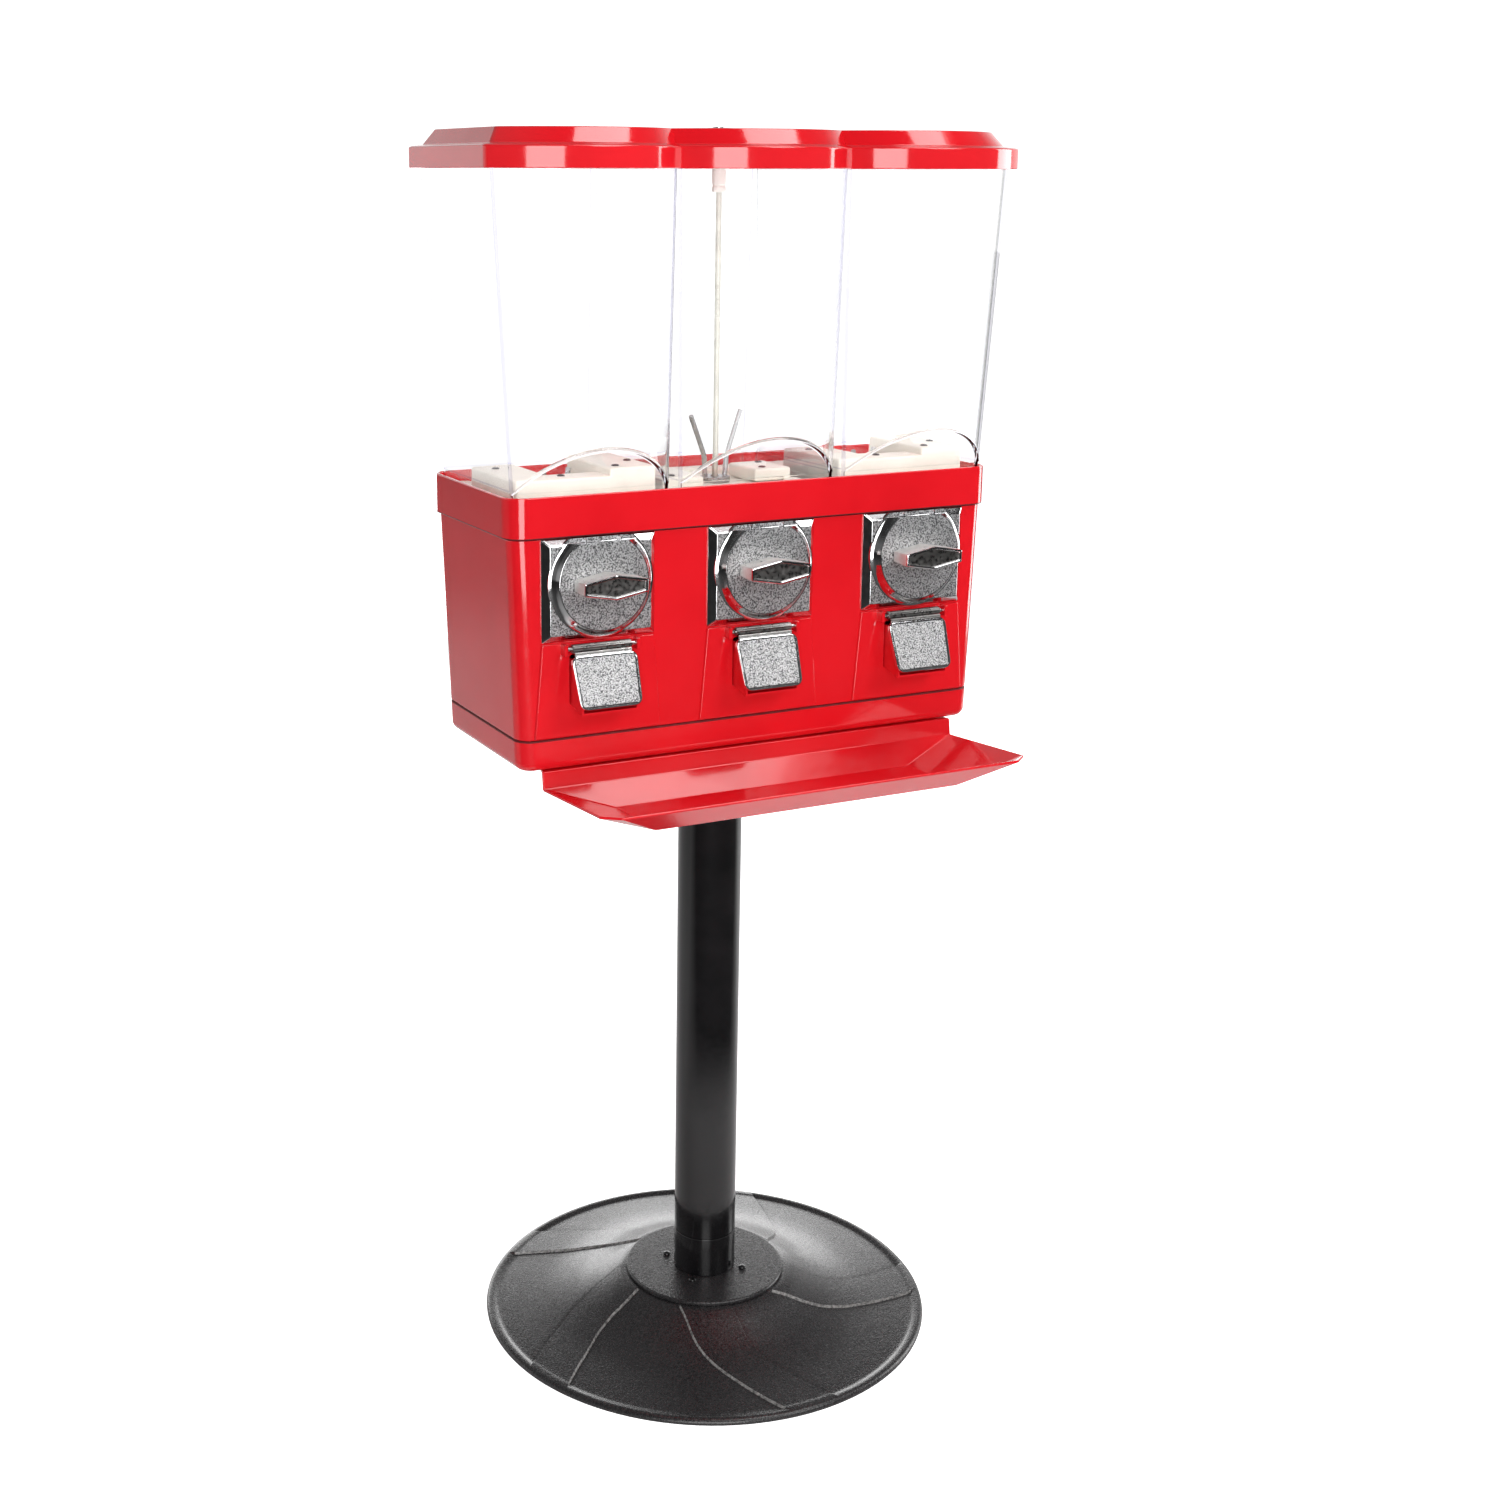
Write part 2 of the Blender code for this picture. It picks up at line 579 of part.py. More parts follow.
def make_agitator(bay, x):
    """Two bent rods that rise from a hub on the wheel."""
    low, high = WHEEL_TOP + GAP, 781 * MM
    agitator = add_object(f"agitator_{bay}", cylinder_mesh("agitator", (0, 0, low), (0, 0, high),
                                                           13 * MM, sides=16), STEEL)
    agitator.location = (x, 0, 0)
    tools = []
    for side in (-1, 1):
        foot = (side * 9 * MM, 0, low + 1.5 * MM)
        knee, tip = [(side * px * MM, side * py * MM, pz * MM) for px, py, pz in
                     (LONG_STEM if bay == "centre" else SHORT_STEM)]
        tools.append(join(agitator, cylinder_mesh("stem", foot, knee, 2.2 * MM, sides=8)))
        knee_low = [a - 0.06 * (b - a) for a, b in zip(knee, tip)]
        tools.append(join(agitator, cylinder_mesh("arm", knee_low, tip, 2.2 * MM, sides=8)))
    tools.append(cut(agitator, cylinder_mesh("bore", (0, 0, low - MM), (0, 0, high + MM), WHEEL_BORE, sides=12)))
    for tool in tools:
        tool.parent = agitator


def make_plate(bay, x):
    """Chrome front plate: bevelled rim, raised panel, conical boss, coin slot and shaft hole."""
    back = FRONT_Y - GAP
    bevel = 6 * MM

    def ring(y, inset):
        half = PLATE_W / 2 - inset
        low, high = PLATE_LOW + inset, PLATE_TOP - inset
        return [(x - half, y, low), (x + half, y, low), (x + half, y, high), (x - half, y, high)]
    rings = [ring(back, 0), ring(back - 1.2 * MM, 0), ring(PANEL_Y, bevel)]
    plate = add_object(f"mech_plate_{bay}", loft_mesh("mech_plate", rings), CHROME)
    panel = PANEL_Y + MM
    join(plate, cylinder_mesh("boss", (x, panel, SHAFT_Z), (x, BOSS_Y, SHAFT_Z),
                              BOSS_FOOT_R, BOSS_R, sides=28))
    cut(plate, box_mesh("flat", (x - 50 * MM, -100 * MM, PLATE_TOP - 4 * MM),
                        (x + 50 * MM, PANEL_Y, PLATE_TOP + 20 * MM)))
    cut(plate, box_mesh("crown", (x - 50 * MM, -100 * MM, PLATE_TOP),
                        (x + 50 * MM, back + MM, PLATE_TOP + 20 * MM)))
    cut(plate, cylinder_mesh("chamber", (x, back + MM, SHAFT_Z), (x, BOSS_Y + 3 * MM, SHAFT_Z),
                             CHAMBER_R, sides=28))
    cut(plate, cylinder_mesh("shaft", (x, back + MM, SHAFT_Z), (x, BOSS_Y - MM, SHAFT_Z), SHAFT_BORE, sides=16))
    cut(plate, box_mesh("slot", (x - 13.5 * MM, -91.4 * MM, SHAFT_Z + 20 * MM),
                        (x + 13.5 * MM, -89.0 * MM, PLATE_TOP + 10 * MM)))


def handle_outline(y, grow):
    """Six corners of the grip in the plane y, anticlockwise from the right."""
    half_w, half_end, half_mid = 27.5 * MM + grow, 5.2 * MM + grow, 10 * MM + grow
    return [(half_w, y, -half_end), (half_w, y, half_end), (0, y, half_mid),
            (-half_w, y, half_end), (-half_w, y, -half_end), (0, y, -half_mid)]


def make_handle(bay, x):
    """Grip and shaft in one piece, turning about the shaft."""
    back = BOSS_Y - 0.5 * MM
    rings = [handle_outline(back, -0.8 * MM), handle_outline(HANDLE_FRONT + MM, 0),
             handle_outline(HANDLE_FRONT, -0.8 * MM)]
    handle = add_object(f"mech_handle_{bay}", loft_mesh("mech_handle", rings), CHROME)
    handle.location = (x, 0, SHAFT_Z)
    recess = [handle_outline(HANDLE_FRONT - MM, -1.9 * MM), handle_outline(HANDLE_FRONT + 1.6 * MM, -2.9 * MM)]
    tools = [cut(handle, loft_mesh("recess", recess)),
             join(handle, cylinder_mesh("shaft", (0, back - 2 * MM, 0), (0, SHAFT_END, 0), SHAFT_R, sides=16))]
    for tool in tools:
        tool.parent = handle


def make_coin_wheel(bay, x):
    mesh = cylinder_mesh("coin_wheel", (0, -91.6 * MM, 0), (0, -86 * MM, 0), CHAMBER_R - 0.8 * MM, sides=28)
    wheel = add_object(f"coin_wheel_{bay}", mesh, STEEL)
    wheel.location = (x, 0, SHAFT_Z)
    tools = [cut(wheel, cylinder_mesh("bore", (0, -95 * MM, 0), (0, -80 * MM, 0), SHAFT_BORE, sides=16)),
             cut(wheel, box_mesh("notch", (-13 * MM, -93 * MM, 10 * MM), (13 * MM, -88.6 * MM, 40 * MM)))]
    for tool in tools:
        tool.parent = wheel


def make_mech_back(bay, x):
    """Rear bearing plate of the mechanism, with the coin exit at its foot."""
    plate = box_mesh("mech_back", (x - 34 * MM, FRONT_Y + 0.1 * MM, 684 * MM),
                     (x + 34 * MM, FRONT_Y + WALL, 747 * MM))
    back = add_object(f"mech_back_{bay}", plate, STEEL)
    join(back, cylinder_mesh("bearing", (x, FRONT_Y + MM, SHAFT_Z), (x, -48 * MM, SHAFT_Z), 10 * MM, sides=16))
    cut(back, cylinder_mesh("bore", (x, -90 * MM, SHAFT_Z), (x, -40 * MM, SHAFT_Z), SHAFT_BORE, sides=16))
    cut(back, box_mesh("exit", (x - 14 * MM, -90 * MM, 688 * MM), (x + 14 * MM, -75 * MM, 696 * MM)))


def make_gear(bay, x):
    """Crown-style pinion: eight pegs round a hub, in mesh with the wheel's pins."""
    front, rear = GEAR_Y - 2.5 * MM, GEAR_Y + 2.5 * MM
    mesh = cylinder_mesh("drive_gear", (0, front - 4 * MM, 0), (0, rear + 0.5 * MM, 0), 11 * MM, sides=16)
    gear = add_object(f"drive_gear_{bay}", mesh, CREAM)
    gear.location = (x, 0, SHAFT_Z)
    tools = []
    for i in range(GEAR_TEETH):
        angle = 2 * math.pi * (i + 0.5) / GEAR_TEETH
        turn = Matrix.Rotation(angle, 3, "Y")
        corners = [turn @ Vector((sx * half, y, r)) for sx in (-1, 1) for y in (front, rear)
                   for half, r in ((2.6 * MM, 8 * MM), (1.6 * MM, GEAR_TIP_R))]
        tools.append(join(gear, hull_mesh("tooth", corners)))
    tools.append(cut(gear, cylinder_mesh("bore", (0, front - 6 * MM, 0), (0, rear + 3 * MM, 0),
                                         SHAFT_BORE, sides=16)))
    for tool in tools:
        tool.parent = gear


def make_nut(bay, x):
    mesh = cylinder_mesh("shaft_nut", (0, GEAR_Y + 3.3 * MM, 0), (0, -20 * MM, 0), 9 * MM, sides=6)
    nut = add_object(f"shaft_nut_{bay}", mesh, STEEL)
    nut.location = (x, 0, SHAFT_Z)
    bore = cut(nut, cylinder_mesh("bore", (0, -30 * MM, 0), (0, -15 * MM, 0), SHAFT_BORE, sides=16))
    bore.parent = nut


def make_door(bay, x):
    """Flap on its knuckle, resting at a slant on the chute's snout."""
    knuckle_r = 3.6 * MM
    mesh = cylinder_mesh("chute_door", (-26 * MM, 0, 0), (26 * MM, 0, 0), knuckle_r, sides=16)
    door = add_object(f"chute_door_{bay}", mesh, SILVER)
    door.location = (x, DOOR_PIN_Y, DOOR_PIN_Z)
    door.rotation_euler = (-DOOR_TILT, 0, 0)
    front, back = -4.4 * MM, -1.4 * MM

    def ring(y, grow):
        low, high, radius = -DOOR_LENGTH - grow, -2.2 * MM, 5 * MM
        return [(sx * (half + grow), y, z) for sx, half, z in (
            (1, DOOR_HALF_LOW - radius, low), (1, DOOR_HALF_LOW, low + radius),
            (1, DOOR_HALF_TOP, high), (-1, DOOR_HALF_TOP, high),
            (-1, DOOR_HALF_LOW, low + radius), (-1, DOOR_HALF_LOW - radius, low))]
    tools = [join(door, loft_mesh("panel", [ring(back, 0), ring(front + 0.8 * MM, 0), ring(front, -0.8 * MM)])),
             cut(door, cylinder_mesh("bore", (-30 * MM, 0, 0), (30 * MM, 0, 0), DOOR_BORE, sides=12))]
    for tool in tools:
        tool.parent = door


def make_door_pin(bay, x):
    mesh = cylinder_mesh("door_pin", (x - 33.4 * MM, DOOR_PIN_Y, DOOR_PIN_Z),
                         (x + 33.4 * MM, DOOR_PIN_Y, DOOR_PIN_Z), DOOR_PIN_R, sides=12)
    add_object(f"door_pin_{bay}", mesh, STEEL)


def inset_outline(points, inset):
    """A convex outline, listed clockwise, moved in by the same distance on every side."""
    lines = []
    for (ax, ay), (bx, by) in zip(points, points[1:] + points[:1]):
        length = math.hypot(bx - ax, by - ay)
        nx, ny = (by - ay) / length, (ax - bx) / length
        lines.append((nx, ny, nx * ax + ny * ay + inset))
    moved = []
    for (a1, b1, c1), (a2, b2, c2) in zip(lines[-1:] + lines[:-1], lines):
        det = a1 * b2 - a2 * b1
        moved.append(((c1 * b2 - c2 * b1) / det, (a1 * c2 - a2 * c1) / det))
    return moved


def chute_slope(y):
    """Height of the chute's underside at depth y."""
    rear, mouth = 18 * MM, -106 * MM
    return 614 * MM + 26 * MM * (y - mouth) / (rear - mouth)


def chute_block(x, plan, inset, top):
    """A solid over a convex plan, from the sloping floor up to top."""
    points = [(x + px, py, chute_slope(py) + inset) for px, py in plan]
    points += [(x + px, py, top) for px, py in plan]
    return hull_mesh("chute", points)


def make_chute(bay, x):
    """Duct under the drop hole, sloping trough beside the tie rod, and slanted snout in front."""
    wall, top, neck = 1.8 * MM, 656 * MM, -77 * MM
    half, throat, drop = 25 * MM, 12.4 * MM, POCKET_CIRCLE
    deep = 14 * MM
    step = 0.15 * MM
    right = drop + throat + step
    trough = [(drop - throat, deep + step), (right, deep + step), (right, -42 * MM),
              (half + step, neck), (-half - step, neck), (-half - step, -62 * MM)]

    def snout(inset, mouth):
        side = half - inset
        return [(-side, -70 * MM), (side, -70 * MM), (side, mouth), (-side, mouth)]

    def duct(inset, low, high):
        reach, depth = throat - inset, deep - inset
        return box_mesh("duct", (x + drop - reach, -depth, low), (x + drop + reach, depth, high))
    chute = add_object(f"chute_{bay}", chute_block(x, trough, 0, top), RED)
    join(chute, chute_block(x, snout(0, -106 * MM), -0.5 * MM, top - 0.5 * MM))
    join(chute, duct(0, top - 2 * MM, 751.5 * MM))
    cut(chute, chute_block(x, inset_outline(trough, wall), wall, top + MM))
    cut(chute, chute_block(x, snout(wall, -112 * MM), wall - 0.5 * MM, top + 2 * MM))
    cut(chute, duct(wall, top - 12 * MM, 755 * MM))
    lean = math.tan(DOOR_TILT)
    face_y = DOOR_PIN_Y - 0.4 * MM
    high, reach = DOOR_PIN_Z + 2 * MM, 60 * MM
    slant = [(x + sx * 40 * MM, y, z) for sx in (-1, 1) for y, z in (
        (face_y, high), (face_y - lean * reach, high - reach), (-150 * MM, high), (-150 * MM, high - reach))]
    cut(chute, hull_mesh("slant", slant))


def make_tray():
    """Catch trough hung under the pan: an open skin with thickness."""
    corners = {
        "flange": (190, -54, 563.4), "rim": (196, -80, 563.4), "rear": (196, -82, 549.5),
        "tip": (196, -188, 557.8), "lip": (182, -200, 558.3), "heel": (140, -100, 532), "toe": (140, -172, 536)}

    def build(bm):
        at = {}
        for key, (px, py, pz) in corners.items():
            for side in (-1, 1):
                at[key, side] = bm.verts.new((side * px * MM, py * MM, pz * MM))
        for upper, lower in (("flange", "rim"), ("rim", "rear"), ("rear", "heel"), ("heel", "toe"),
                             ("toe", "lip")):
            bm.faces.new((at[upper, -1], at[lower, -1], at[lower, 1], at[upper, 1]))
        for side in (-1, 1):
            bm.faces.new((at["rear", side], at["tip", side], at["toe", side], at["heel", side]))
            bm.faces.new((at["tip", side], at["lip", side], at["toe", side]))
    tray = add_object("tray", mesh_from("tray", build), RED)
    solid = tray.modifiers.new("thickness", "SOLIDIFY")
    solid.thickness = 2 * MM
    solid.offset = -1
    solid.use_even_offset = True


def build_machine():
    make_cast_base()
    make_hub()
    make_pipe()
    make_top_plate()
    make_base_pan()
    make_coin_pan()
    make_body_shell()
    make_collar()
    make_tray()
    make_lid()
    make_lock()
    make_tie_rod()
    for bay, x in BAYS.items():
        make_canister(bay)
        make_hopper(bay, x)
        make_wheel(bay, x)
        make_agitator(bay, x)
        make_plate(bay, x)
        make_handle(bay, x)
        make_coin_wheel(bay, x)
        make_mech_back(bay, x)
        make_gear(bay, x)
        make_nut(bay, x)
        make_door(bay, x)
        make_door_pin(bay, x)
        make_chute(bay, x)


build_machine()
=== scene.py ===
"""Looks of the three-bay candy machine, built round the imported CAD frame.

Shapes are in millimetres, +Z up, with the front facing -Y. Lamps and bump depths are in metres.
"""

import math

import bmesh
import bpy
from mathutils import Matrix, Vector


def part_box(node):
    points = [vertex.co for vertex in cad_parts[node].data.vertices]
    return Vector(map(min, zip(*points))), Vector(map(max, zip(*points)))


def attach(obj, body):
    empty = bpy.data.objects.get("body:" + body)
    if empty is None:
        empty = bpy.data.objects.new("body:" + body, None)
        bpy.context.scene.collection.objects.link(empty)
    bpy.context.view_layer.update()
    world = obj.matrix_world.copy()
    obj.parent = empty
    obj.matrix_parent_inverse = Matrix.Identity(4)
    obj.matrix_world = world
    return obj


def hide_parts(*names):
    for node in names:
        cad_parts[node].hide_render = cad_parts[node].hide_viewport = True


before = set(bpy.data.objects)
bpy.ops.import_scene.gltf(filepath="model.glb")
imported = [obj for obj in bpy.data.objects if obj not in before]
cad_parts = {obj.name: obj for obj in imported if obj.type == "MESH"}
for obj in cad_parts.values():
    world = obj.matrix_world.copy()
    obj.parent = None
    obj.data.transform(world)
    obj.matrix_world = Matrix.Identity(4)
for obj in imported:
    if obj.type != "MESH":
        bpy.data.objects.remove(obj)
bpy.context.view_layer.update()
MM = 0.001
BAYS = ("left", "centre", "right")


def span(node):
    """Lowest and highest corner of a CAD node, in millimetres."""
    low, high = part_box(node)
    return [v * 1000 for v in low], [v * 1000 for v in high]


def middle_x(node):
    low, high = span(node)
    return (low[0] + high[0]) / 2


def stand_for(node):
    """Hides a CAD node, whose place a new piece takes."""
    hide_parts(node)


BAY_X = {bay: middle_x(f"mech_plate_{bay}") for bay in BAYS}
SCENE = bpy.context.scene.collection


# ---------------------------------------------------------------- materials

class Maker:
    """A node material and short ways to add nodes to it."""

    def __init__(self, name, colour, roughness, metallic=0.0):
        self.mat = bpy.data.materials.new(name)
        self.mat.use_nodes = True
        self.nodes = self.mat.node_tree.nodes
        self.links = self.mat.node_tree.links
        self.shader = self.nodes["Principled BSDF"]
        self.set("Base Color", (*colour, 1.0))
        self.set("Roughness", roughness)
        self.set("Metallic", metallic)
        self.mat.diffuse_color = (*colour, 1.0)
        self.place = self.nodes.new("ShaderNodeTexCoord").outputs["Object"]

    def set(self, socket, value):
        self.shader.inputs[socket].default_value = value

    def noise(self, scale, detail=3.0, rough=0.5):
        node = self.nodes.new("ShaderNodeTexNoise")
        node.inputs["Scale"].default_value = scale
        node.inputs["Detail"].default_value = detail
        node.inputs["Roughness"].default_value = rough
        self.links.new(self.place, node.inputs["Vector"])
        return node.outputs["Fac"]

    def cells(self, scale):
        node = self.nodes.new("ShaderNodeTexVoronoi")
        node.inputs["Scale"].default_value = scale
        self.links.new(self.place, node.inputs["Vector"])
        return node.outputs["Distance"]

    def ramp(self, source, stops):
        node = self.nodes.new("ShaderNodeValToRGB")
        ramp = node.color_ramp
        while len(ramp.elements) < len(stops):
            ramp.elements.new(0.5)
        for element, (at, colour) in zip(ramp.elements, stops):
            element.position = at
            element.color = (*colour, 1.0)
        self.links.new(source, node.inputs["Fac"])
        return node.outputs["Color"]

    def grey(self, source, low, high, start=0.3, end=0.7):
        node = self.nodes.new("ShaderNodeMapRange")
        for key, value in (("From Min", start), ("From Max", end), ("To Min", low), ("To Max", high)):
            node.inputs[key].default_value = value
        self.links.new(source, node.inputs["Value"])
        return node.outputs["Result"]

    def bump(self, height, strength, distance, below=None):
        node = self.nodes.new("ShaderNodeBump")
        node.inputs["Strength"].default_value = strength
        node.inputs["Distance"].default_value = distance
        self.links.new(height, node.inputs["Height"])
        if below:
            self.links.new(below, node.inputs["Normal"])
        return node.outputs["Normal"]

    def to(self, source, socket):
        self.links.new(source, self.shader.inputs[socket])


def red_plastic(name, gloss, coat=0.6):
    """Bright red gloss with faint flow marks under a clear coat."""
    m = Maker(name, (0.76, 0.012, 0.02), gloss)
    m.to(m.ramp(m.noise(9, 3), [(0.30, (0.66, 0.007, 0.013)), (0.52, (0.72, 0.009, 0.016)),
                                (0.75, (0.76, 0.011, 0.019))]), "Base Color")
    m.to(m.grey(m.noise(140, 4), gloss * 0.8, gloss * 1.35), "Roughness")
    fine = m.bump(m.noise(1500, 2), 0.035, 0.0003)
    m.to(m.bump(m.noise(16, 1), 0.10, 0.004, fine), "Normal")
    m.set("Coat Weight", coat)
    m.set("Coat Roughness", 0.05)
    return m.mat


def polished(name, tone, rough):
    """Bare or plated metal with a faint wave and uneven gloss."""
    m = Maker(name, tone, rough, 1.0)
    low = tuple(v * 0.82 for v in tone)
    m.to(m.ramp(m.noise(60, 3), [(0.35, low), (0.65, tone)]), "Base Color")
    m.to(m.grey(m.noise(300, 3), rough * 0.6, rough * 1.7), "Roughness")
    m.to(m.bump(m.noise(70, 2), 0.10, 0.001), "Normal")
    return m.mat


def hammered(name, dark, light, scale, depth):
    """Speckled die-cast face: coarse bright grains between dark pits."""
    m = Maker(name, light, 0.34, 0.75)
    grains = m.noise(scale, 2, 0.7)
    m.to(m.ramp(grains, [(0.40, dark), (0.48, tuple((a + b) / 2 for a, b in zip(dark, light))),
                         (0.56, light)]), "Base Color")
    m.to(m.grey(grains, 0.28, 0.5), "Roughness")
    m.to(m.bump(grains, depth, 0.0006), "Normal")
    return m.mat


def clear_plastic(name, tint):
    """Water-clear moulding. Lamps pass straight through it."""
    m = Maker(name, tint, 0.012)
    m.set("Transmission Weight", 1.0)
    m.set("IOR", 1.46)
    m.to(m.grey(m.noise(40, 2), 0.006, 0.03), "Roughness")
    path = m.nodes.new("ShaderNodeLightPath")
    clear = m.nodes.new("ShaderNodeBsdfTransparent")
    clear.inputs["Color"].default_value = (0.98, 0.983, 0.99, 1.0)
    mix = m.nodes.new("ShaderNodeMixShader")
    m.links.new(path.outputs["Is Shadow Ray"], mix.inputs["Fac"])
    m.links.new(m.shader.outputs["BSDF"], mix.inputs[1])
    m.links.new(clear.outputs["BSDF"], mix.inputs[2])
    m.links.new(mix.outputs["Shader"], m.nodes["Material Output"].inputs["Surface"])
    return m.mat


def moulded(name, tone, rough):
    """Satin moulded plastic."""
    m = Maker(name, tone, rough)
    low = tuple(v * 0.90 for v in tone)
    m.to(m.ramp(m.noise(30, 4), [(0.3, low), (0.65, tone)]), "Base Color")
    m.to(m.grey(m.noise(200, 3), rough * 0.85, rough * 1.2), "Roughness")
    m.to(m.bump(m.noise(900, 2), 0.08, 0.0004), "Normal")
    return m.mat


def cast_black(name, dark, light):
    """Black wrinkle enamel on cast iron."""
    m = Maker(name, dark, 0.42)
    m.to(m.ramp(m.noise(420, 3), [(0.3, dark), (0.7, light)]), "Base Color")
    m.to(m.grey(m.noise(700, 2), 0.17, 0.33), "Roughness")
    wrinkle = m.bump(m.noise(560, 4, 0.62), 0.38, 0.0009)
    m.to(m.bump(m.cells(820), 0.16, 0.0005, wrinkle), "Normal")
    m.set("Coat Weight", 0.15)
    m.set("Coat Roughness", 0.15)
    return m.mat


def gloss_black():
    """Gloss black enamel on steel."""
    m = Maker("gloss_black", (0.006, 0.0055, 0.006), 0.10)
    m.to(m.ramp(m.noise(30, 3), [(0.3, (0.004, 0.004, 0.0045)),
                                 (0.7, (0.010, 0.009, 0.010))]), "Base Color")
    m.to(m.grey(m.noise(160, 4), 0.06, 0.17), "Roughness")
    m.to(m.bump(m.noise(260, 3), 0.03, 0.0006), "Normal")
    m.set("Coat Weight", 0.2)
    m.set("Coat Roughness", 0.04)
    return m.mat


RED = red_plastic("red_plastic", 0.11)
RED_LID = red_plastic("red_lid_plastic", 0.09)
RED_STEEL = red_plastic("red_enamel", 0.14, 0.2)
CHROME = polished("chrome", (0.80, 0.80, 0.81), 0.09)
DARK_CHROME = polished("dark_chrome", (0.36, 0.35, 0.34), 0.3)
BRUSHED = polished("brushed_chrome", (0.86, 0.85, 0.82), 0.42)
STEEL = polished("bright_steel", (0.62, 0.62, 0.62), 0.22)
DARK_STEEL = polished("dark_steel", (0.48, 0.48, 0.48), 0.3)
ROD_STEEL = polished("rod_steel", (0.56, 0.54, 0.47), 0.42)
ZINC = polished("zinc_plate", (0.50, 0.51, 0.53), 0.38)
HAMMERED = hammered("hammered_silver", (0.10, 0.10, 0.105), (0.68, 0.68, 0.69), 760, 0.7)
SPECKLED = hammered("speckled_silver", (0.07, 0.07, 0.075), (0.74, 0.74, 0.745), 860, 0.6)
CLEAR = clear_plastic("clear_plastic", (0.990, 0.992, 0.998))
# Lavender edge tint: the colour of thick plastic seen edge-on, and painted shade for the dark lines at the
# bends.
CLEAR_EDGE_TINT_AND_SHADE = clear_plastic("clear_plastic_edge_tint_and_shade", (0.62, 0.61, 0.72))
CREAM = moulded("cream_plastic", (0.83, 0.785, 0.69), 0.38)
WHITE = moulded("white_nylon", (0.78, 0.76, 0.69), 0.35)
BLACK = gloss_black()
IRON = cast_black("cast_black", (0.008, 0.008, 0.009), (0.034, 0.032, 0.033))
# Light grey copy of the black enamel: a painted highlight on the crests of the band edges.
IRON_PAINTED_HIGHLIGHT = cast_black("cast_black_painted_highlight", (0.05, 0.05, 0.05), (0.34, 0.33, 0.32))
# Near black: the hopper screws' own colour, and painted shade in the coin slots and in the grooves round the
# flap fields.
DARK = moulded("dark_screw_and_painted_shade", (0.03, 0.03, 0.032), 0.45)
# Dark red for the faces at the joints: painted shade in the gaps between the red parts.
SEAM = moulded("painted_joint_shade", (0.14, 0.003, 0.005), 0.7)


# ---------------------------------------------------------------- shapes

PIECES = []


def piece(name, verts, faces, mats, body, sharp=32, marks=None):
    """A named mesh from points in millimetres, riding on a CAD body.

    marks are the faces that take the second material.
    """
    mesh = bpy.data.meshes.new(name)
    mesh.from_pydata([tuple(c * MM for c in v) for v in verts], [], faces)
    obj = bpy.data.objects.new(name, mesh)
    SCENE.objects.link(obj)
    for mat in (mats if isinstance(mats, (list, tuple)) else [mats]):
        mesh.materials.append(mat)
    for index in marks or ():
        mesh.polygons[index].material_index = 1
    tidy(obj, sharp)
    if body:
        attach(obj, body)
        PIECES.append(obj)
    return obj


def tidy(obj, sharp=32):
    """Merges doubles, turns faces outward and shades smooth up to an angle."""
    bm = bmesh.new()
    bm.from_mesh(obj.data)
    bmesh.ops.remove_doubles(bm, verts=bm.verts, dist=2e-6)
    bmesh.ops.dissolve_degenerate(bm, edges=bm.edges, dist=1e-6)
    bmesh.ops.recalc_face_normals(bm, faces=bm.faces)
    bm.to_mesh(obj.data)
    bm.free()
    obj.data.shade_smooth()
    obj.data.set_sharp_from_angle(angle=math.radians(sharp))


def skin(rings, cyclic=False, caps=True):
    """Points and faces of a skin over closed rings of equal length."""
    verts = [p for ring in rings for p in ring]
    n = len(rings[0])
    faces = []
    pairs = list(range(len(rings) - 1)) + ([-1] if cyclic else [])
    for k in pairs:
        a, b = (k % len(rings)) * n, ((k + 1) % len(rings)) * n
        for i in range(n):
            j = (i + 1) % n
            faces.append((a + i, a + j, b + j, b + i))
    if caps and not cyclic:
        faces.append(tuple(range(n))[::-1])
        faces.append(tuple(range((len(rings) - 1) * n, len(rings) * n)))
    return verts, faces


def rounded(points, radius, steps=4, closed=False, only=None):
    """The polyline with its corners turned into curves of about that radius."""
    points = [Vector(p) for p in points]
    count = len(points)
    out = []
    for i, p in enumerate(points):
        if not closed and i in (0, count - 1) or (only is not None and i not in only):
            out.append(tuple(p))
            continue
        before, after = points[i - 1] - p, points[(i + 1) % count] - p
        a = p + before.normalized() * min(radius, before.length * 0.48)
        b = p + after.normalized() * min(radius, after.length * 0.48)
        for k in range(steps + 1):
            t = k / steps
            out.append(tuple(a * (1 - t) ** 2 + p * 2 * t * (1 - t) + b * t * t))
    return out


def lathe(profile, segs=96, centre=(0, 0), closed=False, shaft=None):
    """Points and faces of a profile of (radius, height) turned about the upright at centre.

    With shaft, an (x, z), the profile of (radius, y) is turned about the line through it along Y.
    """
    rings = []
    for r, h in profile:
        ring = []
        for i in range(segs):
            a = 2 * math.pi * i / segs
            u, v = r * math.cos(a), r * math.sin(a)
            if shaft:
                ring.append((shaft[0] + u, h, shaft[1] + v))
            else:
                ring.append((centre[0] + u, centre[1] + v, h))
        rings.append(ring)
    return skin(rings, cyclic=closed, caps=not closed)


def soft_box(low, high, width=1.0, steps=3):
    """Points and faces of a box with rounded edges."""
    bm = bmesh.new()
    size = [b - a for a, b in zip(low, high)]
    mid = [(a + b) / 2 for a, b in zip(low, high)]
    bmesh.ops.create_cube(bm, size=1.0, matrix=Matrix.Translation(mid) @ Matrix.Diagonal((*size, 1.0)))
    bmesh.ops.bevel(bm, geom=bm.edges[:], offset=width, segments=steps, profile=0.5, affect="EDGES")
    return from_bmesh(bm)


